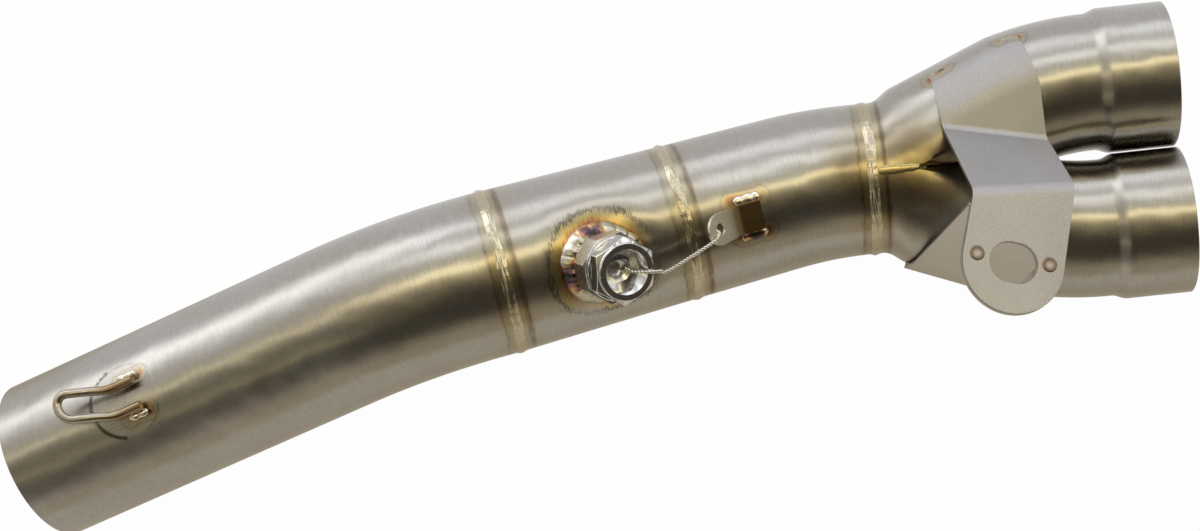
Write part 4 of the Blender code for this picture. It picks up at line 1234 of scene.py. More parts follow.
@dataclass
class Collector:
    """The two branches, formed from a D-shaped mouth to round sockets."""

    shop: Workshop
    socket_spacing: float = 0.0580
    start_offset: float = 0.0008
    angle: float = math.radians(22.0)
    bend_radius: float = 0.1050
    mouth_lead: float = 0.0025
    opening_run: float = 0.0090
    formed_length: float = 0.0430
    flare_length: float = 0.0060
    socket_length: float = 0.0250
    half_steps: int = 72
    flat_steps: int = 32
    ridge_pitch: float = 0.0010
    ridge_height: float = 0.000012
    run_steps: int = 72
    flare_steps: int = 12
    ridge_steps: int = 125
    inner_stride: int = 3
    rim_round: float = 0.0003

    def parallel_run(self) -> float:
        """Distance from the mouth at which the branches run side by side."""
        rise = self.socket_spacing / 2 - self.start_offset - self.bend_radius * (1 - math.cos(self.angle))
        return rise / math.tan(self.angle) + self.bend_radius * math.sin(self.angle)

    def socket_end(self) -> float:
        """Distance from the mouth to the sockets' rims."""
        return self.parallel_run() + self.flare_length + self.socket_length

    def axis_at(self, x: float) -> tuple[float, float]:
        """Finds a branch's axis.

        Args:
            x: Distance from the mouth.

        Returns:
            Its sideways offset and its slope angle there.
        """
        parallel = self.parallel_run()
        straight = parallel - self.bend_radius * math.sin(self.angle)
        if x <= straight:
            return self.start_offset + x * math.tan(self.angle), self.angle
        if x >= parallel:
            return self.socket_spacing / 2, 0.0
        slope = math.asin((parallel - x) / self.bend_radius)
        return self.socket_spacing / 2 - self.bend_radius * (1 - math.cos(slope)), slope

    def section(self, x: float, radius: float, inset: float) -> list[tuple[float, float]]:
        """Makes a branch's section, drawn in by an inset.

        Args:
            x: Distance from the mouth.
            radius: Outer radius of the round tube.
            inset: How far the section lies inside the outer skin.

        Returns:
            Points (y, z) round the section.
        """
        offset, slope = self.axis_at(x)
        rounding = ease((x - self.mouth_lead) / self.formed_length)
        opening = ease((x - self.mouth_lead) / self.opening_run)
        mouth = MOUTH_DIAMETER / 2
        width = (radius - inset) / math.cos(slope)
        reach = mouth - inset + (offset + width - mouth + inset) * opening
        height = mouth + (radius - mouth) * rounding - inset
        flat = SEAT_GAP / 2 + inset
        corner = math.acos(flat / reach)
        ring = []
        for step in range(-self.half_steps, self.half_steps):
            count = abs(step)
            sign = 1.0 if step >= 0 else -1.0
            if count <= self.flat_steps:
                formed = Vector((flat, sign * height * math.sin(corner) * count / self.flat_steps))
            else:
                turn = corner * (self.half_steps - count) / (self.half_steps - self.flat_steps)
                formed = Vector((reach * math.cos(turn), sign * height * math.sin(turn)))
            angle = math.pi * count / self.half_steps
            plain = Vector((offset - width * math.cos(angle), sign * (radius - inset) * math.sin(angle)))
            place = formed.lerp(plain, rounding)
            ring.append((max(place.x, flat), place.y))
        return ring

    def stations(self) -> list[tuple[float, float]]:
        """Distances from the mouth, with the outer radius there."""
        tube = BRANCH_DIAMETER / 2
        socket = SOCKET_DIAMETER / 2
        run = self.parallel_run()
        places = [(run * step / self.run_steps, tube) for step in range(self.run_steps + 1)]
        for step in range(1, self.flare_steps + 1):
            share = step / self.flare_steps
            places.append((run + self.flare_length * share, tube + (socket - tube) * ease(share)))
        for step in range(1, self.ridge_steps):
            x = run + self.flare_length + self.socket_length * step / self.ridge_steps
            places.append((x, socket + self.ridge_height * math.sin(math.tau * x / self.ridge_pitch)))
        end = self.socket_end()
        return places + [(end - self.rim_round, socket), (end, socket - self.rim_round)]

    def build(self) -> None:
        """Builds both branches."""
        outer = self.stations()
        before_ridges = self.run_steps + self.flare_steps + 1
        inner = outer[: before_ridges : self.inner_stride] + outer[-1:]
        for name, side in (("upper_branch", 1.0), ("lower_branch", -1.0)):
            rings = []
            for stations, inset in ((outer, 0.0), (inner[::-1], TUBE_WALL)):
                for x, radius in stations:
                    rings.append([Vector((x, side * y, z)) for y, z in self.section(x, radius, inset)])
            self.shop.publish(name, skin_mesh(rings, along=True), TUBE_STEEL, Slot.TUBE, sharp=40.0)

    def surface(self, x: float, side: float, angle: float, lift: float) -> Vector:
        """Finds a point on a branch where it is round.

        Args:
            x: Distance from the mouth.
            side: 1 for the upper branch, -1 for the lower.
            angle: Angle from the branch's crown towards its outer side.
            lift: Height above the surface.

        Returns:
            The point.
        """
        offset, slope = self.axis_at(x)
        radius = BRANCH_DIAMETER / 2 + lift
        y = offset + radius / math.cos(slope) * math.sin(angle)
        return Vector((x, side * y, radius * math.cos(angle)))

    def seat_height(self, x: float, radius: float) -> float:
        """Height at which a bead lies in the valley between the branches."""
        section = self.section(x, BRANCH_DIAMETER / 2, 0.0)
        return max(z + math.sqrt(radius * radius - y * y) for y, z in section if abs(y) < radius)


@dataclass
class GirthWelds:
    """The three beads round the butt joints, and the bead along the branches' seam."""

    shop: Workshop
    collector: Collector
    width: float = 0.0040
    height: float = 0.0006
    least_height: float = 0.00005
    edge_shift: float = 0.0051
    joint_steps: int = 120
    around_steps: int = 900
    across_steps: int = 14
    seed_step: float = 11.3
    seam_radius: float = 0.0013
    seam_start: float = 0.0020
    seam_length: float = 0.0190
    seam_steps: int = 12
    puddles: Puddles = Puddles(0.0023, 0.0005, 0.0600, seed=0.30, tail=0.50)

    def places(self) -> list[tuple[str, Vector, Vector, float]]:
        """Names, centres, axes and radii of the butt joints."""
        line = self.shop.line
        return [
            ("weld_outlet", line.joint(), line.middle, OUTLET_DIAMETER / 2),
            ("weld_middle", line.neck(), line.middle, NECK_DIAMETER / 2),
            ("weld_collector", ORIGIN, FORWARD, MOUTH_DIAMETER / 2),
        ]

    def mark_tint_lines(self) -> None:
        """Adds the joints and the seam to the tint map; the seam's tint carries painted shade in the valley
        between the branches.
        """
        for _, centre, axis, radius in self.places():
            stand = clock_frame(centre, axis, 0.0, 0.0)
            for layer, shift in ((GIRTH_HEAT, 0.0), (EDGE_HEAT_AND_SHADE, self.edge_shift)):
                ring = [on_tube(stand, shift, radius, angle) for angle in full_turn(self.joint_steps)]
                self.shop.tint_lines.add(layer, ring, cyclic=True)
        # The seam's lines carry its oxide tint and the painted shade in the valley between the branches.
        for points in self.seam_lines(0.0).values():
            self.shop.tint_lines.add(SEAM_HEAT_AND_SHADE, points)

    def seam_lines(self, lift: float) -> dict[str, Ring]:
        """Names and lines of the beads in the valley between the branches, above and below."""
        found = {}
        for name, sign in (("merge_weld_top", 1.0), ("merge_weld_bottom", -1.0)):
            found[name] = []
            for step in range(self.seam_steps + 1):
                x = self.seam_start + self.seam_length * step / self.seam_steps
                seat = self.collector.seat_height(x, self.seam_radius) - self.seam_radius
                found[name].append(Vector((x, 0.0, sign * (seat + lift))))
        return found

    def build(self) -> None:
        """Builds the three girth beads and the two seam beads."""
        for index, (name, centre, axis, radius) in enumerate(self.places()):
            stand = clock_frame(centre, axis, 0.0, 0.0)
            seed = index * self.seed_step
            rings = [self.section(stand, radius, angle, seed) for angle in full_turn(self.around_steps)]
            self.shop.publish(name, skin_mesh(rings, along=True), BEAD_STEEL, Slot.BEAD, BEAD_SHARP)
        self.shop.lay_beads(self.seam_lines, self.puddles, SEAM_STEEL)

    def section(self, stand: Matrix, radius: float, angle: float, seed: float) -> Ring:
        """Makes the bead's section at one angle round the joint.

        Args:
            stand: Frame at the joint, with X along the tube.
            radius: Outer radius of the tubes.
            angle: Angle from the top.
            seed: Shifts the bead's unevenness.

        Returns:
            The section's ring.
        """
        swell = noise.noise(polar(13.0, angle, seed + 4.0))
        half = self.width / 2 * (1.0 + 0.14 * swell)
        shift = 0.0003 * noise.noise(polar(6.0, angle, seed))
        ring = []
        for place in range(self.across_steps + 1):
            across = -1.0 + 2.0 * place / self.across_steps
            streak = noise.noise(polar(4.0, angle, seed + 9.0 + 4.2 * across))
            crown = (1.0 - across * across) ** 1.4
            rise = self.height * crown * (0.82 + 0.12 * swell + 0.50 * streak)
            ring.append(on_tube(stand, half * across + shift, radius + rise + self.least_height, angle))
        for across in (0.7, -0.7):
            ring.append(on_tube(stand, half * across + shift, radius - BEAD_ROOT, angle))
        return ring


@dataclass
class SensorBoss:
    """The octagonal sensor boss, its washer and its hexagon plug."""

    shop: Workshop
    run: float = 0.0382
    clock: float = math.radians(-19.2)
    lean: float = math.radians(16.0)
    across_flats: float = 0.0256
    neck_diameter: float = 0.0246
    neck_height: float = 0.0044
    height: float = 0.0100
    weld_radius: float = 0.0018
    weld_height: float = 0.0034
    weld_lobes: int = 19
    weld_steps: int = 240
    weld_sections: int = 12
    heat_steps: int = 96
    past_tube: float = 0.01
    edge_round: float = 0.0004
    thread_diameter: float = 0.0180
    washer_diameter: float = 0.0248
    washer_thickness: float = 0.0014
    washer_round: float = 0.0003
    plug_flats: float = 0.0231
    hex_height: float = 0.0070
    plug_turn: float = math.radians(-13.0)
    rim_diameter: float = 0.0219
    rim_height: float = 0.0010
    chamfer: float = math.radians(30.0)
    recess_diameter: float = 0.0158
    recess_bevel: float = 0.0008
    recess_depth: float = 0.0056
    drill_radius: float = 0.0042
    cone_depth: float = 0.0017
    shank_length: float = 0.0110
    shank_round: float = 0.0008
    plug_round: float = 0.00018
    chamfer_foot: float = 0.0004
    funnel_steps: int = 12
    cone_steps: int = 8
    turns: int = 192

    def stand(self) -> Matrix:
        """Frame at the boss's foot, with Z along its leaning axis."""
        line = self.shop.line
        foot = line.joint() + line.middle * self.run
        upright = clock_frame(foot, line.middle, self.clock, line.sensor_radius(self.run))
        return upright @ Matrix.Rotation(self.lean, 4, "Y")

    def washer_low(self) -> float:
        """Height of the washer's underside."""
        return self.height + SEAT_GAP

    def plug_low(self) -> float:
        """Height of the hexagon's underside."""
        return self.washer_low() + self.washer_thickness + SEAT_GAP

    def plug_top(self) -> float:
        """Height of the plug's rim."""
        return self.plug_low() + self.hex_height + self.rim_height

    def dish(self) -> WeldDish:
        """The dish that the weld draws into the sensor tube."""
        stand = self.stand()
        return WeldDish(stand.translation, stand.to_3x3().col[2].copy())

    def seated(self, reach: float, angle: float, lift: float) -> Vector:
        """Finds a point over the sensor tube, round the boss.

        Args:
            reach: Distance from the boss's axis.
            angle: Angle round the axis.
            lift: Height over the tube's dished surface.

        Returns:
            The point.
        """
        line = self.shop.line
        stand = self.stand()
        joint = line.joint()
        dish = self.dish()
        spot = polar(reach, angle)
        for _ in range(6):
            place = stand @ spot
            run = (place - joint).dot(line.middle)
            over = (place - joint - line.middle * run).length - line.sensor_radius(run)
            spot.z += lift - over - dish.sink(place)
        return stand @ spot

    def toe_reach(self) -> float:
        """Distance of the weld's toe from the boss's axis."""
        return self.neck_diameter / 2 + SEAT_GAP + 2 * self.weld_radius

    def mark_tint_lines(self) -> None:
        """Adds the boss's weld to the tint map and its dish to the workshop."""
        reach = self.toe_reach() - self.weld_radius
        ring = [self.seated(reach, angle, 0.0) for angle in full_turn(self.heat_steps)]
        self.shop.tint_lines.add(BOSS_HEAT, ring, cyclic=True)
        self.shop.dishes["sensor_tube"] = self.dish()

    def weld_section(self, angle: float) -> Ring:
        """Makes the weld's section at one angle round the boss, from its toe up to the neck.

        Args:
            angle: Angle round the boss's axis.

        Returns:
            The section's ring.
        """
        inner = self.neck_diameter / 2 + 0.0001
        puddle = abs(math.sin(angle * self.weld_lobes / 2)) ** 0.5
        circle = polar(1.0, angle)
        swell = noise.noise(circle * 3.1 + UP * 7.7)
        grit = noise.noise(circle * 9.0 + UP * 2.4)
        toe = self.toe_reach() + 0.0005 * swell + 0.0003 * (puddle - 1.0)
        tall = self.weld_height * (0.86 + 0.14 * puddle + 0.16 * grit)
        ring = [self.seated(toe, angle, -BEAD_ROOT)]
        for step in range(self.weld_sections + 1):
            share = step / self.weld_sections
            bulge = 0.28 * math.sin(math.pi * share) * (0.4 + 0.6 * puddle)
            ring.append(self.seated(toe + (inner - toe) * share, angle, tall * (share + bulge)))
        ring.append(self.seated(inner, angle, 0.0002))
        return ring

    def build(self) -> None:
        """Builds the boss, its weld, the washer and the plug."""
        bead = skin_mesh([self.weld_section(angle) for angle in full_turn(self.weld_steps)], along=True)
        self.shop.publish("weld_bung", bead, BRIGHT_BEAD, Slot.BEAD, BEAD_SHARP)
        self.build_boss()
        self.build_washer()
        self.build_plug()

    def prism(self, name: str, sides: int, flats: float, high: float) -> Object:
        """Makes a solid about the boss's axis, from deep inside the tube.

        Args:
            name: The solid's name.
            sides: Its sides.
            flats: Its size across the flats.
            high: Height of its top.

        Returns:
            The solid.
        """
        deep = self.neck_height * 3
        middle = Matrix.Translation((0.0, 0.0, (high - deep) / 2))
        place = self.stand() @ middle @ Matrix.Rotation(math.pi / sides, 4, "Z")
        return drum(name, sides, flats / 2 / math.cos(math.pi / sides), high + deep, place)

    def raised_tube(self, name: str, lift: float) -> Object:
        """Makes a solid of the sensor tube with its surface raised, longer than the tube at both ends.

        Args:
            name: The solid's name.
            lift: How far the surface is raised.

        Returns:
            The solid.
        """
        line = self.shop.line
        past = line.middle * self.past_tube
        runs = (-self.past_tube, line.sensor_length + self.past_tube)
        radii = [line.sensor_radius(run) + lift for run in runs]
        rings = circle_rings([line.joint() - past, line.neck() + past], radii, RoundTubes.sides)
        return loose_object(name, skin_mesh(rings, capped=True))

    def build_boss(self) -> None:
        """Builds the octagonal boss, seated on the sensor tube."""
        boss = self.prism("boss", 8, self.across_flats, self.height)
        neck = self.prism("boss_neck", DRUM_SIDES, self.neck_diameter, self.height - SEAT_GAP)
        reach = self.neck_height * 18
        bore = drum("boss_bore", DRUM_SIDES, self.thread_diameter / 2, reach, self.stand())
        shelf = self.raised_tube("boss_shelf", self.neck_height)
        seat = self.raised_tube("boss_seat", SEAT_GAP)
        add_boolean(boss, shelf)
        add_boolean(boss, neck, "UNION")
        add_boolean(boss, seat)
        add_boolean(boss, bore)
        add_edge_rounding(boss, self.edge_round)
        finished = settled(boss, (neck, bore, shelf, seat))
        self.shop.publish("sensor_bung", finished, BOSS_STEEL, Slot.TURNED)

    def build_washer(self) -> None:
        """Builds the washer under the plug."""
        inner = self.thread_diameter / 2 + SEAT_GAP
        outer = self.washer_diameter / 2
        low = self.washer_low()
        high = low + self.washer_thickness
        soft = self.washer_round
        profile = [(inner, high), (outer - soft, high), (outer, high - soft)]
        profile += [(outer, low + soft), (outer - soft, low), (inner, low)]
        washer = lathe_mesh(profile, self.turns)
        washer.transform(self.stand())
        self.shop.publish("plug_washer", washer, TURNED_STEEL, Slot.TURNED)

    def plug_profile(self, hexagon: float) -> list[tuple[float, float]]:
        """Profile of the plug, from its shank's tip over the rim into the recess.

        Args:
            hexagon: The hexagon's radius where the profile is taken.

        Returns:
            Points of (radius, height).
        """
        low = self.plug_low()
        high = self.plug_top()
        shoulder = high - self.rim_height
        rim = self.rim_diameter / 2
        recess = self.recess_diameter / 2
        shank = self.thread_diameter / 2 - SEAT_GAP
        tip = low - self.shank_length
        under = self.plug_flats / 2 - self.chamfer_foot
        slope = math.tan(self.chamfer)
        soft = self.plug_round
        profile = [
            (0.0, tip),
            (shank - self.shank_round, tip),
            (shank, tip + self.shank_round),
            (shank, low),
            (under, low),
            (hexagon, low + (hexagon - under) * slope),
            (hexagon, shoulder - (hexagon - rim) * slope - soft),
            (hexagon - soft, shoulder - (hexagon - rim) * slope + soft),
            (rim + soft, shoulder - soft),
            (rim, shoulder + soft),
            (rim, high - soft),
            (rim - soft, high),
            (recess + self.recess_bevel, high),
            (recess, high - self.recess_bevel),
        ]
        drop = self.recess_depth - self.recess_bevel
        for step in range(1, self.funnel_steps + 1):
            share = step / self.funnel_steps
            radius = recess + (self.drill_radius - recess) * share
            profile.append((radius, high - self.recess_bevel - drop * share))
        floor = high - self.recess_depth
        for step in range(1, self.cone_steps + 1):
            share = step / self.cone_steps
            profile.append((self.drill_radius * (1.0 - share), floor - self.cone_depth * share))
        return profile

    def build_plug(self) -> None:
        """Builds the hexagon plug as one turned skin, with its rim, recess and shank."""
        columns = []
        for step in range(self.turns):
            angle = math.tau * (step + 0.5) / self.turns
            part = (angle - self.plug_turn + math.pi / 6) % (math.pi / 3) - math.pi / 6
            hexagon = self.plug_flats / 2 / math.cos(part)
            columns.append([polar(radius, angle, height) for radius, height in self.plug_profile(hexagon)])
        plug = skin_mesh([list(ring) for ring in zip(*columns)], merge=SAME_PLACE)
        plug.transform(self.stand())
        self.shop.publish("sensor_plug", plug, TURNED_STEEL, Slot.TURNED, sharp=24.0)


@dataclass
class WireLock:
    """The wire tab with its raised ear, its welds and the twisted lock wire."""

    shop: Workshop
    boss: SensorBoss
    run: float = 0.0199
    clock: float = math.radians(-14.5)
    length: float = 0.0092
    width: float = 0.0112
    thickness: float = 0.0012
    ear_length: float = 0.0186
    tip_radius: float = 0.0062
    ear_angle: float = math.radians(38.0)
    hole_diameter: float = 0.0046
    bead_gap: float = 0.00135
    bead_length: float = 0.0110
    bead_steps: int = 6
    puddles: Puddles = Puddles(0.0023, 0.0018, 0.0040, seed_step=0.35)
    tip_steps: int = 32
    edge_round: float = 0.00015
    wire_diameter: float = 0.00145
    wire_clock: float = math.radians(-17.0)
    wire_tail: float = 0.0022
    twist_pitch: float = 0.0026
    wire_spacing: float = 0.00022
    wire_sides: int = 10

    def radius(self) -> float:
        """Outer radius of the front tube under the tab."""
        return self.shop.line.front_radius(self.run + self.length / 2)

    def centre(self) -> Vector:
        """Point on the front tube's axis under the tab's middle."""
        line = self.shop.line
        return line.neck() + line.middle * (self.run + self.length / 2)

    def stand(self) -> Matrix:
        """Frame at the middle of the tab's base."""
        return clock_frame(self.centre(), self.shop.line.middle, self.clock, self.radius() + SEAT_GAP)

    def ear_point(self, along: float, across: float) -> Vector:
        """Point of the ear in the tab's frame, at a run from the fold."""
        back = self.length / 2 + along * math.cos(self.ear_angle)
        return Vector((-back, across, along * math.sin(self.ear_angle)))

    def weld_lines(self, lift: float) -> dict[str, Ring]:
        """Names and lines of the two beads at the tab's sides, at a height over the tube."""
        line = self.shop.line
        found = {}
        for name, side in (("tab_weld_upper", 1.0), ("tab_weld_lower", -1.0)):
            angle = self.clock + side * (self.width / 2 + self.bead_gap) / self.radius()
            found[name] = []
            for step in range(self.bead_steps + 1):
                spot = self.centre() + line.middle * (self.bead_length * (step / self.bead_steps - 0.5))
                found[name].append(clock_frame(spot, line.middle, angle, self.radius() + lift).translation)
        return found

    def mark_tint_lines(self) -> None:
        """Adds the tab's welds to the tint map."""
        for points in self.weld_lines(0.0).values():
            self.shop.tint_lines.add(SPOT_HEAT, points)

    def build(self) -> None:
        """Builds the tab, its beads and the wire."""
        self.build_tab()
        self.shop.lay_beads(self.weld_lines, self.puddles, CLEAN_BEAD, BRIGHT_BEAD)
        self.build_wire()

    def build_tab(self) -> None:
        """Builds the folded tab with the hole in its ear."""
        half_length = self.length / 2
        half_width = self.width / 2
        run = self.ear_length - self.tip_radius
        bm = bmesh.new()
        base = [bm.verts.new((half_length, side * half_width, 0.0)) for side in (-1.0, 1.0)]
        fold = [bm.verts.new((-half_length, side * half_width, 0.0)) for side in (1.0, -1.0)]
        bm.faces.new(base + fold)
        ear = []
        for step in range(self.tip_steps + 1):
            angle = math.pi * step / self.tip_steps
            along = run + self.tip_radius * math.sin(angle)
            ear.append(bm.verts.new(self.ear_point(along, self.tip_radius * math.cos(angle))))
        bm.faces.new([fold[1], fold[0]] + ear)
        folds = edges_between(fold)
        bmesh.ops.bevel(bm, geom=folds, offset=self.thickness, segments=8, profile=0.5, affect="EDGES")
        bmesh.ops.recalc_face_normals(bm, faces=bm.faces)
        if sum(face.normal.z for face in bm.faces) < 0:
            bmesh.ops.reverse_faces(bm, faces=bm.faces)
        bm.transform(self.stand())
        tab = loose_object("tab_sheet", bm)
        add_thickness(tab, self.thickness)
        place = Matrix.Translation(self.ear_point(run, 0.0)) @ Matrix.Rotation(self.ear_angle, 4, "Y")
        depth = self.thickness * 10
        hole = drum("tab_hole", DRUM_SIDES // 2, self.hole_diameter / 2, depth, self.stand() @ place)
        add_boolean(tab, hole)
        add_edge_rounding(tab, self.edge_round)
        self.shop.publish("lock_wire_tab", settled(tab, (hole,)), TAB_STEEL, Slot.SHEET)

    def route(self) -> Ring:
        """Points that the wire passes, from the ear's hole to the plug's recess."""
        boss = self.boss
        tab = self.stand()
        bung = boss.stand()
        hole = self.ear_point(self.ear_length - self.tip_radius, 0.0)
        normal = Vector((math.sin(self.ear_angle), 0.0, math.cos(self.ear_angle)))
        ear = Vector((-math.cos(self.ear_angle), 0.0, math.sin(self.ear_angle)))
        top = boss.plug_top()
        rim = boss.rim_diameter / 2
        recess = boss.recess_diameter / 2
        clear = self.wire_diameter / 2 + SEAT_GAP
        over = polar(1.0, self.wire_clock)
        above = self.thickness + clear - SEAT_GAP
        return [
            tab @ (hole - normal * self.wire_tail),
            tab @ (hole + ear * 0.0006 - SIDEWAYS * 0.0009 + normal * self.thickness * 0.5),
            tab @ (hole + ear * 0.0026 - SIDEWAYS * 0.0019 + normal * above),
            tab @ (hole + ear * 0.0066 - SIDEWAYS * 0.0034 + normal * above * 0.8),
            bung @ (over * (rim + 0.0075) + UP * (top - 0.0015)),
            bung @ (over * (rim + 0.0028) + UP * (top + 0.0006)),
            bung @ (over * ((rim + recess) / 2 + 0.0002) + UP * (top + clear + 0.0004)),
            bung @ (over * (recess - 0.0020) + UP * (top + 0.0002)),
            bung @ (over * (recess - 0.0050) + UP * (top - 0.0022)),
            bung @ (over * 0.0006 + SIDEWAYS * 0.0012 + UP * (top - 0.0030)),
        ]

    def build_wire(self) -> None:
        """Builds the wire as two strands twisted round each other."""
        line = resampled(smooth_route(self.route(), 12), self.wire_spacing)
        travel = tangents(line)
        up = travel[0].orthogonal().normalized()
        strands: list[Ring] = [[], []]
        run = 0.0
        strand = self.wire_diameter / 4
        for index, (place, direction) in enumerate(zip(line, travel)):
            if index:
                run += (place - line[index - 1]).length
            up = (up - direction * up.dot(direction)).normalized()
            side = direction.cross(up)
            for which in (0, 1):
                angle = math.tau * run / self.twist_pitch + math.pi * which
                strands[which].append(place + (up * math.cos(angle) + side * math.sin(angle)) * strand)
        bm = bmesh.new()
        for points in strands:
            cap(bm, skin(bm, circle_rings(points, [strand] * len(points), self.wire_sides)))
        bmesh.ops.recalc_face_normals(bm, faces=bm.faces)
        self.shop.publish("lock_wire", bm, WIRE_STEEL, Slot.WIRE, BEAD_SHARP)


@dataclass
class SpringHook:
    """The bent wire hook for the retaining spring, on its round pad."""

    shop: Workshop
    run: float = 0.0575
    clock: float = math.radians(9.9)
    pad_diameter: float = 0.0304
    pad_thickness: float = 0.0012
    wire_diameter: float = 0.0036
    leg_spacing: float = 0.0108
    foot: float = 0.0075
    reach: float = 0.0242
    lift: float = 0.0046
    yaw: float = math.radians(15.0)
    sag: float = 0.0013
    turn_start: float = 0.0015
    turn_run: float = 0.0120
    bead_gap: float = 0.00084
    bead_start: float = 0.0010
    bead_length: float = 0.0085
    bead_steps: int = 6
    puddles: Puddles = Puddles(0.0017, 0.0014, 0.0034, seed=0.4, seed_step=0.3)
    rim_steps: int = 24
    rim_start: float = math.radians(112.0)
    rim_span: float = math.radians(136.0)
    soot_and_shadow_side: float = 0.0019
    soot_and_shadow_start: float = 0.0070
    soot_and_shadow_length: float = 0.0140
    soot_and_shadow_steps: int = 8
    pad_rings: int = 14
    pad_sides: int = 96
    pad_round: float = 0.00025
    leg_steps: int = 40
    bow_steps: int = 32
    wire_spacing: float = 0.0005
    wire_sides: int = 28

    def base(self) -> Vector:
        """Point on the outlet tube's axis under the pad's middle."""
        line = self.shop.line
        return line.rim() + line.outlet * self.run

    def on_tube(self, along: float, across: float, lift: float) -> Vector:
        """Point over the outlet tube: along its axis, across round its wall, and lifted from it."""
        radius = OUTLET_DIAMETER / 2
        outlet = self.shop.line.outlet
        angle = self.clock + across / radius
        return clock_frame(self.base() + outlet * along, outlet, angle, radius + lift).translation

    def wire_point(self, along: float, across: float, lift: float) -> Vector:
        """Point of the hook's wire, which turns aside and lifts off the tube past the pad's middle."""
        radius = OUTLET_DIAMETER / 2
        free = max(0.0, self.turn_start - along)
        sideways = across + (free * math.tan(self.yaw) - self.sag) * ease(free / self.turn_run)
        release = ease(free / self.reach)
        drop = radius - math.sqrt(radius * radius - sideways * sideways)
        flat = clock_frame(self.base(), self.shop.line.outlet, self.clock, radius)
        return flat @ Vector((along, sideways, lift + self.lift * release - drop * (1.0 - release)))

    def weld_lines(self, lift: float) -> dict[str, Ring]:
        """Names and lines of the beads at the hook's feet, at a height over the pad."""
        found = {}
        height = self.pad_thickness + SEAT_GAP + lift
        for name, side in (("hook_weld_upper", 1.0), ("hook_weld_lower", -1.0)):
            across = side * (self.leg_spacing / 2 + self.wire_diameter / 2 + self.bead_gap)
            found[name] = []
            for step in range(self.bead_steps + 1):
                along = self.foot + self.bead_start - self.bead_length * step / self.bead_steps
                found[name].append(self.wire_point(along, across, height))
        return found

    def on_pad(self, size: float, angle: float, lift: float) -> Vector:
        """Point over the tube, at a distance and an angle from the pad's middle."""
        return self.on_tube(size * math.cos(angle), size * math.sin(angle), lift)

    def mark_tint_lines(self) -> None:
        """Adds the hook's welds, a line of soot and painted shadow along the pad's rim, and a patch of soot
        and painted shadow of the wire on the pad to the tint map.
        """
        for points in self.weld_lines(0.0).values():
            self.shop.tint_lines.add(SPOT_HEAT, points)
        # The pad's left rim gets a near-black line: soot, with painted shadow under the raised edge.
        rim = []
        for step in range(self.rim_steps + 1):
            angle = self.rim_start + self.rim_span * step / self.rim_steps
            rim.append(self.on_pad(self.pad_diameter / 2, angle, SEAT_GAP))
        self.shop.tint_lines.add(SOOT_AND_SHADOW_EDGE, rim)
        # Between the legs lies a dark patch: soot, with painted shadow of the hook's wire.
        soot_and_shadow = []
        for step in range(self.soot_and_shadow_steps + 1):
            along = self.soot_and_shadow_start - self.soot_and_shadow_length * step / self.soot_and_shadow_steps
            soot_and_shadow.append(self.on_tube(along, self.soot_and_shadow_side, self.pad_thickness))
        self.shop.tint_lines.add(EDGE_HEAT_AND_SHADE, soot_and_shadow)

    def build(self) -> None:
        """Builds the pad, the hook and its beads."""
        self.build_pad()
        self.build_wire()
        self.shop.lay_beads(self.weld_lines, self.puddles, CLEAN_BEAD)

    def build_pad(self) -> None:
        """Builds the round pad, bent to the tube."""
        rows = []
        for ring in range(self.pad_rings + 1):
            size = self.pad_diameter / 2 * ring / self.pad_rings
            rows.append([self.on_pad(size, angle, 0.0) for angle in full_turn(self.pad_sides)])
        bm = bmesh.new()
        skin(bm, rows)
        bmesh.ops.remove_doubles(bm, verts=bm.verts, dist=SAME_PLACE * 10)
        pad = loose_object("pad_sheet", bm)
        add_thickness(pad, self.pad_thickness + SEAT_GAP)
        add_edge_rounding(pad, self.pad_round)
        self.shop.publish("hook_pad", settled(pad), TUBE_STEEL, Slot.TUBE)

    def build_wire(self) -> None:
        """Builds the hook's wire: one leg, the bow and the other leg."""
        half = self.leg_spacing / 2
        wire = self.wire_diameter / 2
        low = self.pad_thickness + 2 * SEAT_GAP + wire
        straight = self.reach - half
        leg = self.foot + straight
        runs = [self.foot - leg * step / self.leg_steps for step in range(self.leg_steps + 1)]
        path = [(run, half) for run in runs]
        for step in range(1, self.bow_steps):
            angle = math.pi * step / self.bow_steps
            path.append((-straight - half * math.sin(angle), half * math.cos(angle)))
        path += [(run, -half) for run in runs[::-1]]
        points = resampled([self.wire_point(along, across, low) for along, across in path], self.wire_spacing)
        hook = rod_mesh(points, wire, self.wire_sides)
        self.shop.publish("spring_hook", hook, HOOK_STEEL, Slot.TUBE, BEAD_SHARP)


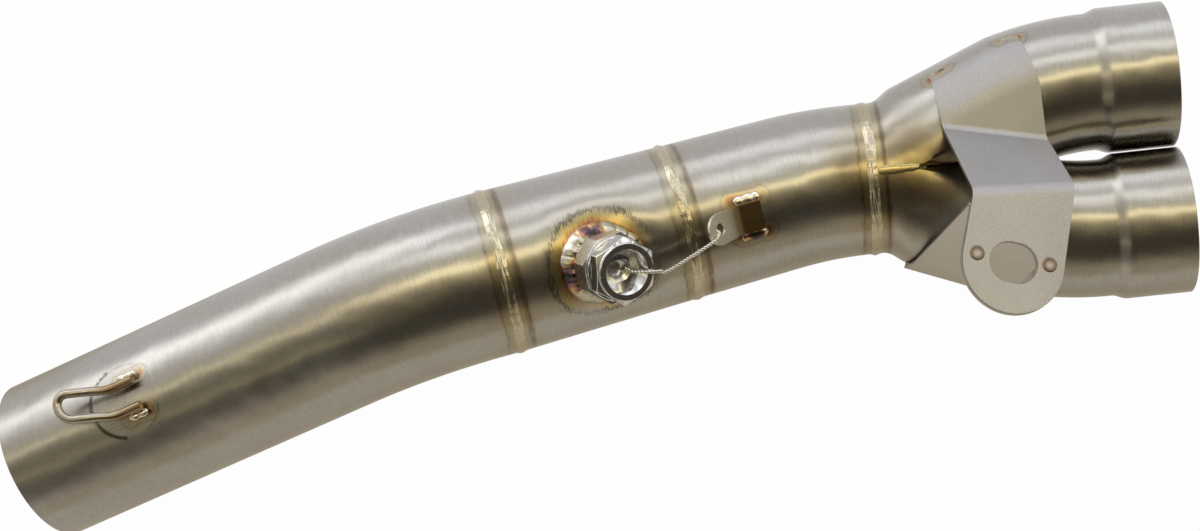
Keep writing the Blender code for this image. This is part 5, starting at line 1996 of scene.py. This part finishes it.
@dataclass
class HangerBracket:
    """The two folded straps of the hanger, their slot, welds and spot welds."""

    shop: Workshop
    collector: Collector
    sheet: float = 0.0015
    fold_radius: float = 0.0024
    wrap: float = math.radians(50.0)
    wrap_seat: float = 0.0005
    fold_near: Vector = vector_field(0.0282, 0.0139)
    fold_far: Vector = vector_field(0.0676, 0.0050)
    strap_end: tuple[float, float] = (0.0270, 0.0624)
    flange_near: Vector = vector_field(0.0339, -0.0142)
    flange_far: Vector = vector_field(0.0728, -0.0158)
    stand_off: float = 0.0292
    rise: float = math.radians(10.0)
    end_radius: float = 0.0195
    slot_place: Vector = vector_field(0.0118, 0.0281)
    slot_length: float = 0.0185
    slot_width: float = 0.0158
    slot_turn: float = math.radians(15.0)
    leg_fold_start: float = 0.0030
    leg_seat: float = 0.0008
    leg_slant: float = math.radians(12.0)
    leg_wrap: float = math.radians(30.0)
    strap_bead_gap: float = 0.00098
    leg_bead_gap: float = 0.0007
    bead_length: float = 0.0070
    bead_steps: int = 6
    puddles: Puddles = Puddles(0.0019, 0.0013, 0.0034, seed_step=0.2)
    spot_places: tuple[tuple[float, float], ...] = ((-0.0017, 0.0236), (0.0255, 0.0296))
    spot_radius: float = 0.0022
    spot_steps: int = 16
    spot_sides: int = 48
    columns: int = 28
    rows: int = 24
    wrap_steps: int = 16
    fold_steps: int = 8
    outline_steps: int = 56
    slot_sides: int = 96
    edge_round: float = 0.00022

    def __post_init__(self) -> None:
        """Works out the flange's plane and the leg's cylinder."""
        floor = BRANCH_DIAMETER / 2 + SEAT_GAP
        self.lower_fold = [Vector((place.x, place.y, floor)) for place in (self.fold_near, self.fold_far)]
        near = Vector((self.flange_near.x, self.flange_near.y, floor + self.stand_off))
        web = (self.lower_fold[1] - self.lower_fold[0]).cross(near - self.lower_fold[0]).normalized()
        far = Vector((self.flange_far.x, self.flange_far.y, 0.0))
        far.z = near.z - ((far.x - near.x) * web.x + (far.y - near.y) * web.y) / web.z
        self.near = near
        self.far = far
        self.across = (far - near).normalized()
        level = self.across.cross(UP).normalized()
        upright = level.cross(self.across).normalized()
        self.along = level * math.cos(self.rise) + upright * math.sin(self.rise)
        self.normal = self.along.cross(self.across).normalized()
        if self.normal.z < 0:
            self.normal = -self.normal
        self.width = (far - near).length
        slope = self.collector.angle
        self.leg_axis = Vector((math.cos(slope), -math.sin(slope), 0.0))
        self.leg_out = Vector((-math.sin(slope), -math.cos(slope), 0.0))
        self.leg_foot = Vector((0.0, -self.collector.start_offset, 0.0))
        self.leg_radius = BRANCH_DIAMETER / 2 + self.leg_seat
        side = self.outline()[0].normalized() * self.leg_fold_start
        self.apex = self.point(side, -SEAT_GAP)
        reach = self.apex - self.leg_foot
        sideways = reach.dot(self.leg_out)
        distance = math.hypot(sideways, reach.z)
        self.touch = math.atan2(sideways, reach.z) + math.acos(self.leg_radius / distance)
        self.down = self.leg_out * math.cos(self.touch) - Vector((0.0, 0.0, math.sin(self.touch)))
        self.leg_normal = self.leg_out * math.sin(self.touch) + UP * math.cos(self.touch)
        self.leg_length = math.sqrt(distance * distance - self.leg_radius * self.leg_radius)

    def point(self, place: Vector, lift: float = 0.0) -> Vector:
        """Point of the flange's plane, across and along from the fold's near end."""
        return self.near + self.across * place.x + self.along * place.y + self.normal * lift

    def outline(self) -> list[Vector]:
        """Places round the flange's end, between its two straight sides."""
        ends = []
        for corner, turn in ((Vector((0.0, 0.0)), 1.0), (Vector((self.width, 0.0)), -1.0)):
            reach = self.slot_place - corner
            angle = math.atan2(reach.y, reach.x) + turn * math.asin(self.end_radius / reach.length)
            ends.append(angle - turn * math.pi / 2 + math.pi)
        start, end = ends
        while start < end:
            start += math.tau
        places = []
        for step in range(self.outline_steps + 1):
            angle = start + (end - start) * step / self.outline_steps
            places.append(self.slot_place + self.end_radius * Vector((math.cos(angle), math.sin(angle))))
        return places

    def weld_lines(self, lift: float) -> dict[str, Ring]:
        """Names and lines of the four corner beads, at a height over the branches."""
        angle = self.wrap + self.strap_bead_gap / (BRANCH_DIAMETER / 2)
        past = self.leg_wrap + self.leg_bead_gap / self.leg_radius
        shift = self.leg_radius * self.leg_wrap * math.tan(self.leg_slant)
        rear, front = [start - shift for start in self.leg_starts()]
        steps = [self.bead_length * step / self.bead_steps for step in range(self.bead_steps + 1)]
        found = {}
        near, far = self.strap_end
        for name, start in (("strap_weld_rear", near), ("strap_weld_front", far - self.bead_length)):
            found[name] = [self.collector.surface(start + step, 1.0, angle, lift) for step in steps]
        for name, start in (("leg_weld_rear", rear), ("leg_weld_front", front - self.bead_length)):
            found[name] = [self.wrapped(start + step, past, lift - self.leg_seat) for step in steps]
        return found

    def mark_tint_lines(self) -> None:
        """Adds the bracket's welds and the rings of its spot welds to the tint map."""
        for points in self.weld_lines(0.0).values():
            self.shop.tint_lines.add(SPOT_HEAT, points)
        for place in self.spot_places:
            turns = [polar(self.spot_radius, angle).xy for angle in full_turn(self.spot_steps)]
            ring = [self.point(Vector(place) + turn, self.sheet) for turn in turns]
            self.shop.tint_lines.add(RING_HEAT, ring, cyclic=True)

    def build(self) -> None:
        """Builds both straps, the corner beads and the spot welds."""
        self.build_upper()
        self.build_lower()
        self.shop.lay_beads(self.weld_lines, self.puddles, BRIGHT_BEAD)
        self.build_spots()

    def slot_cutter(self) -> Object:
        """Makes the cutter for the slot through both sheets."""
        turn = Matrix.Rotation(self.slot_turn, 2)
        half = (self.slot_length - self.slot_width) / 2
        rings = []
        for lift in (self.sheet * 3, -self.sheet * 5):
            ring = []
            for step in range(self.slot_sides):
                end = polar(self.slot_width / 2, math.tau * (step + 0.5) / self.slot_sides).xy
                place = Vector((end.x + math.copysign(half, end.x), end.y))
                ring.append(self.point(self.slot_place + turn @ place, lift))
            rings.append(ring)
        return loose_object("slot_cutter", skin_mesh(rings, capped=True))

    def sheet_piece(self, name: str, bm: BMesh, offset: float, finish: SteelFinish) -> None:
        """Gives a sheet its thickness, cuts the slot and publishes it.

        Args:
            name: The strap's name.
            bm: Its open surface.
            offset: Side on which the sheet's thickness lies.
            finish: Its steel.
        """
        strap = loose_object(name + "_sheet", bm)
        add_thickness(strap, self.sheet, offset)
        cutter = self.slot_cutter()
        add_boolean(strap, cutter)
        add_edge_rounding(strap, self.edge_round)
        self.shop.publish(name, settled(strap, (cutter,)), finish, Slot.SHEET)

    def fold_arc(self, corner: Vector, before: Vector, after: Vector) -> Ring:
        """Rounds a fold.

        Args:
            corner: Point on the sharp fold line.
            before: Direction from the corner into the first plane.
            after: Direction from the corner into the second plane.

        Returns:
            Points of the round fold, from the first plane to the second.
        """
        start = corner + before
        end = corner + after
        weight = math.sin(before.angle(after) / 2)
        points = []
        for step in range(self.fold_steps + 1):
            t = step / self.fold_steps
            shares = ((1 - t) ** 2, 2 * t * (1 - t) * weight, t**2)
            points.append((start * shares[0] + corner * shares[1] + end * shares[2]) / sum(shares))
        return points

    def strap_column(self, share: float) -> Ring:
        """Finds one column of the upper strap, from its end on the branch to its flange.

        Args:
            share: How far the column is from the strap's near edge to its far edge.

        Returns:
            The column's points.
        """
        low = self.lower_fold[0].lerp(self.lower_fold[1], share)
        high = self.near.lerp(self.far, share)
        end_x = self.strap_end[0] + (self.strap_end[1] - self.strap_end[0]) * share
        fold_line = (self.lower_fold[1] - self.lower_fold[0]).normalized()
        web = (high - low).normalized()
        low_step = web * (self.fold_radius / (web - fold_line * web.dot(fold_line)).length)
        high_step = web * (self.fold_radius / (web - self.across * web.dot(self.across)).length)
        offset, slope = self.collector.axis_at(low.x)
        radius = BRANCH_DIAMETER / 2 + SEAT_GAP
        leave_y = low.y + self.fold_radius
        column = []
        if leave_y < offset:
            seat = Vector((low.x, leave_y, low.z))
            leave = 0.0
        else:
            leave = math.asin((leave_y - offset) * math.cos(slope) / radius)
            seat = Vector((low.x, leave_y, radius * math.cos(leave)))
        for step in range(self.rows, 0, -1):
            part = step / self.rows
            lift = SEAT_GAP + (self.wrap_seat - SEAT_GAP) * ease(part * 4)
            angle = leave + (self.wrap - leave) * part
            column.append(self.collector.surface(low.x + (end_x - low.x) * part, 1.0, angle, lift))
        edges = self.outline()
        sides = (edges[0].normalized(), (edges[-1] - Vector((self.width, 0.0))).normalized())
        side = sides[0].lerp(sides[1], share)
        onward = (self.across * side.x + self.along * side.y) * (self.fold_radius / side.y)
        return column + self.fold_arc(low, seat - low, low_step) + self.fold_arc(high, -high_step, onward)

    def build_upper(self) -> None:
        """Builds the strap over the upper branch, with its raised web and its flange."""
        columns = [self.strap_column(step / self.columns) for step in range(self.columns + 1)]
        bm = bmesh.new()
        rows = skin(bm, [list(row) for row in zip(*columns)], around=False)
        bm.faces.new(rows[-1][::-1] + [bm.verts.new(self.point(place)) for place in self.outline()])
        bmesh.ops.recalc_face_normals(bm, faces=bm.faces)
        if sum(face.normal.z * face.calc_area() for face in bm.faces) < 0:
            bmesh.ops.reverse_faces(bm, faces=bm.faces)
        self.sheet_piece("bracket_upper_strap", bm, 1.0, SHEET_STEEL)

    def wrapped(self, along: float, angle: float, lift: float = 0.0) -> Vector:
        """Finds a point on the leg's wrap.

        Args:
            along: Distance along the branch's axis.
            angle: Angle past where the leg touches the branch.
            lift: Height over the wrap.

        Returns:
            The point.
        """
        turn = self.touch + angle
        spoke = self.leg_out * math.sin(turn) + UP * math.cos(turn)
        return self.leg_foot + self.leg_axis * along + spoke * (self.leg_radius + lift)

    def leg_ends(self) -> list[Vector]:
        """The two ends of the fold between the doubler and the leg."""
        fold = self.normal.cross(self.leg_normal).normalized()
        if fold.x < 0:
            fold = -fold
        corner = self.point(Vector((self.width, 0.0)), -SEAT_GAP)
        edge = (self.point(self.outline()[-1], -SEAT_GAP) - corner).normalized()
        inward = edge.cross(self.normal)
        run = (corner - self.apex).dot(inward) / fold.dot(inward)
        return [self.apex, self.apex + fold * run]

    def leg_starts(self) -> list[float]:
        """Places along the branch's axis at which the leg's two edges start to wrap."""
        first = []
        for place in self.leg_ends():
            along = (place - self.leg_foot).dot(self.leg_axis)
            fallen = (place - self.apex).dot(self.down)
            first.append(along - (self.leg_length - fallen) * math.tan(self.leg_slant))
        return first

    def build_lower(self) -> None:
        """Builds the doubler behind the flange and the leg that folds back under it."""
        bm = bmesh.new()
        ends = self.leg_ends()
        starts = self.leg_starts()
        shares = [step / self.columns for step in range(self.columns + 1)]
        rings = [[ends[0].lerp(ends[1], share) for share in shares]]
        for step in range(self.wrap_steps + 1):
            angle = self.leg_wrap * step / self.wrap_steps
            shift = self.leg_radius * angle * math.tan(self.leg_slant)
            alongs = [starts[0] + (starts[1] - starts[0]) * share - shift for share in shares]
            rings.append([self.wrapped(along, angle) for along in alongs])
        rows = skin(bm, rings, around=False)
        bm.faces.new(rows[0][::-1] + [bm.verts.new(self.point(place, -SEAT_GAP)) for place in self.outline()])
        bmesh.ops.recalc_face_normals(bm, faces=bm.faces)
        top = max(bm.faces, key=lambda face: len(face.verts))
        if top.normal.z < 0:
            bmesh.ops.reverse_faces(bm, faces=bm.faces)
        folds = edges_between(rows[0])
        bmesh.ops.bevel(bm, geom=folds, offset=self.fold_radius, segments=8, profile=0.5, affect="EDGES")
        # The lower strap's steel is painted lighter, as painted light for the shade under the flange.
        self.sheet_piece("bracket_lower_strap", bm, -1.0, DOUBLER_STEEL_PAINTED_LIGHTER)

    def build_spots(self) -> None:
        """Builds the two small rings that the spot welder left on the flange."""
        profile = [(0.0, 0.00002), (0.0013, 0.00004), (0.0018, 0.00016), (0.0024, 0.00020), (0.0029, 0.00006)]
        profile += [(0.0031, -0.0003), (0.0, -0.0003)]
        for index, place in enumerate(self.spot_places):
            bm = lathe_mesh(profile, self.spot_sides)
            stand = Matrix((self.across, self.normal.cross(self.across), self.normal)).transposed().to_4x4()
            stand.translation = self.point(Vector(place), self.sheet)
            bm.transform(stand)
            self.shop.publish(f"spot_weld_{index + 1}", bm, SHEET_STEEL, Slot.BEAD, BEAD_SHARP, in_cad=False)


# Studio


@dataclass
class Studio:
    """The camera at the photograph's place, the pale floor and the soft light."""

    lens: float = 75.0
    sensor: float = 36.0
    camera_place: Vector = vector_field(0.09693, -0.06387, 1.02822)
    camera_right: Vector = vector_field(0.99003, -0.1021, -0.09708)
    camera_up: Vector = vector_field(0.1079, 0.99256, 0.05638)
    floor_size: float = 8.0
    sky: Stops = (
        (0.256, rgb(0.48, 0.41, 0.28)),
        (0.290, rgb(0.46, 0.39, 0.27)),
        (0.312, rgb(0.35, 0.30, 0.21)),
        (0.334, rgb(0.17, 0.14, 0.10)),
        (0.356, rgb(0.075, 0.064, 0.046)),
        (0.406, rgb(0.060, 0.050, 0.037)),
        (0.439, rgb(0.085, 0.070, 0.046)),
        (0.473, rgb(0.20, 0.165, 0.095)),
        (0.506, rgb(0.48, 0.40, 0.24)),
        (0.523, rgb(0.80, 0.68, 0.38)),
        (0.530, rgb(2.30, 1.98, 1.15)),
        (0.547, rgb(2.75, 2.42, 1.55)),
        (0.555, rgb(0.92, 0.83, 0.57)),
        (0.573, rgb(0.74, 0.69, 0.56)),
        (0.596, rgb(0.96, 0.93, 0.82)),
        (0.612, rgb(1.75, 1.73, 1.64)),
        (0.632, rgb(1.85, 1.84, 1.78)),
        (0.648, rgb(0.98, 0.96, 0.93)),
        (0.664, rgb(0.84, 0.82, 0.79)),
        (0.684, rgb(1.20, 1.20, 1.20)),
        (0.700, rgb(1.60, 1.60, 1.62)),
        (0.722, rgb(1.55, 1.55, 1.58)),
        (0.742, rgb(0.95, 0.95, 0.97)),
        (0.760, rgb(0.85, 0.84, 0.85)),
    )
    far_sky: Stops = (
        (0.245, rgb(0.72, 0.66, 0.56)),
        (0.270, rgb(0.70, 0.64, 0.56)),
        (0.292, rgb(0.56, 0.51, 0.45)),
        (0.314, rgb(0.34, 0.31, 0.27)),
        (0.340, rgb(0.22, 0.20, 0.16)),
        (0.375, rgb(0.20, 0.18, 0.14)),
        (0.400, rgb(0.26, 0.235, 0.16)),
        (0.412, rgb(0.62, 0.54, 0.33)),
        (0.420, rgb(0.62, 0.54, 0.33)),
        (0.430, rgb(0.26, 0.23, 0.16)),
        (0.458, rgb(0.22, 0.20, 0.15)),
        (0.480, rgb(0.34, 0.30, 0.23)),
        (0.500, rgb(0.60, 0.53, 0.38)),
        (0.507, rgb(1.35, 1.18, 0.80)),
        (0.516, rgb(1.30, 1.14, 0.78)),
        (0.526, rgb(0.76, 0.69, 0.53)),
        (0.550, rgb(0.64, 0.59, 0.49)),
        (0.590, rgb(0.76, 0.72, 0.66)),
        (0.620, rgb(0.98, 0.97, 0.95)),
        (0.645, rgb(1.40, 1.39, 1.38)),
        (0.672, rgb(1.95, 1.93, 1.92)),
        (0.692, rgb(2.60, 2.57, 2.55)),
        (0.714, rgb(2.35, 2.33, 2.33)),
        (0.735, rgb(1.45, 1.44, 1.46)),
        (0.765, rgb(0.82, 0.81, 0.82)),
    )
    end_glow: Colour = rgb(0.62, 0.61, 0.58)
    floor_glow: Stops = (
        (0.40, rgb(0.66, 0.60, 0.50)),
        (0.46, rgb(0.52, 0.455, 0.35)),
        (0.50, rgb(0.50, 0.44, 0.34)),
        (0.53, rgb(0.84, 0.83, 0.83)),
        (0.58, rgb(0.90, 0.89, 0.90)),
    )
    floor_span: float = 1.5
    near_from: tuple[float, float] = (0.30, 0.41)
    ends_from: tuple[float, float] = (0.88, 0.99)
    floor_whiteness: float = 0.98
    floor_mirror: float = 0.85

    def build(self) -> None:
        """Sets the camera, the floor and the world."""
        self.add_camera()
        self.add_floor()
        self.set_world()
        bpy.context.scene.view_settings.view_transform = "Standard"

    def add_camera(self) -> None:
        """Adds the camera."""
        data = bpy.data.cameras.new("camera")
        data.lens = self.lens
        data.sensor_width = self.sensor
        data.sensor_fit = "HORIZONTAL"
        data.clip_start = 0.05
        camera = bpy.data.objects.new("camera", data)
        back = self.camera_right.cross(self.camera_up).normalized()
        up = back.cross(self.camera_right).normalized()
        stand = Matrix((self.camera_right.normalized(), up, back)).transposed().to_4x4()
        stand.translation = self.camera_place
        camera.matrix_world = stand
        bpy.context.scene.collection.objects.link(camera)
        bpy.context.scene.camera = camera

    def add_floor(self) -> None:
        """Adds the pale floor, which keeps a faint shadow."""
        bm = bmesh.new()
        bmesh.ops.create_grid(bm, x_segments=1, y_segments=1, size=self.floor_size / 2)
        floor = loose_object("studio_floor", bm)
        material = bpy.data.materials.new("pale_floor")
        material.use_nodes = True
        bench = NodeBench(material.node_tree)
        diffuse = bench.add("ShaderNodeBsdfDiffuse")
        bench.feed(diffuse.inputs["Color"], grey(0.86))
        place = bench.axes(bench.add("ShaderNodeTexCoord").outputs["Object"])
        across = bench.maths("MULTIPLY_ADD", place["Y"], 1.0 / self.floor_span, 0.5)
        mirror = bench.ramp(across, self.floor_glow).outputs["Color"]
        path = bench.add("ShaderNodeLightPath").outputs
        glow = bench.add("ShaderNodeEmission")
        bench.feed(glow.inputs["Color"], bench.mix(path["Is Camera Ray"], mirror, grey(1.0)))
        seen = bench.maths("MULTIPLY", path["Is Camera Ray"], self.floor_whiteness)
        mirrored = bench.maths("MULTIPLY", path["Is Glossy Ray"], self.floor_mirror)
        blend = bench.add("ShaderNodeMixShader")
        sources = (bench.maths("ADD", seen, mirrored), diffuse.outputs[0], glow.outputs[0])
        for socket, source in zip(blend.inputs, sources):
            bench.feed(socket, source)
        bench.finish("ShaderNodeOutputMaterial", blend.outputs[0])
        floor.data.materials.append(material)

    def set_world(self) -> None:
        """Sets the soft room: white to the eye, with a lit and shaded vault over the pipe."""
        world = bpy.data.worlds.new("studio_world")
        bpy.context.scene.world = world
        world.use_nodes = True
        bench = NodeBench(world.node_tree)
        axes = bench.axes(bench.add("ShaderNodeTexCoord").outputs["Generated"])
        turn = bench.maths("ARCTAN2", axes["Y"], axes["Z"])
        share = bench.maths("MULTIPLY_ADD", turn, 1.0 / math.tau, 0.5)
        near = bench.ramp(share, self.sky).outputs["Color"]
        far = bench.ramp(share, self.far_sky).outputs["Color"]
        lean = bench.maths("MULTIPLY_ADD", axes["X"], 0.5, 0.5)
        room = bench.mix(self.rising(bench, lean, self.near_from), far, near)
        ends = self.rising(bench, bench.maths("ABSOLUTE", axes["X"]), self.ends_from)
        room = bench.mix(ends, room, self.end_glow)
        seen = bench.add("ShaderNodeLightPath").outputs["Is Camera Ray"]
        background = bench.add("ShaderNodeBackground")
        bench.feed(background.inputs["Color"], bench.mix(seen, room, grey(1.0)))
        bench.finish("ShaderNodeOutputWorld", background.outputs[0])

    def rising(self, bench: NodeBench, source: Socket, span: tuple[float, float]) -> Socket:
        """Ramp that rises from 0 to 1 over a span of the source."""
        return bench.ramp(source, ((span[0], grey(0.0)), (span[1], grey(1.0)))).outputs["Color"]


def main() -> None:
    """Builds the studio and every sub-assembly."""
    logging.basicConfig(level=logging.INFO, format="%(name)s %(message)s")
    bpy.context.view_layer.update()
    Studio().build()
    shop = Workshop()
    collector = Collector(shop)
    boss = SensorBoss(shop)
    welded = (
        GirthWelds(shop, collector),
        boss,
        WireLock(shop, boss),
        SpringHook(shop),
        HangerBracket(shop, collector),
    )
    for part in welded:
        part.mark_tint_lines()
    for part in (RoundTubes(shop), collector, *welded):
        part.build()
        LOG.info("%s done", type(part).__name__)


if __name__ == "__main__":
    main()
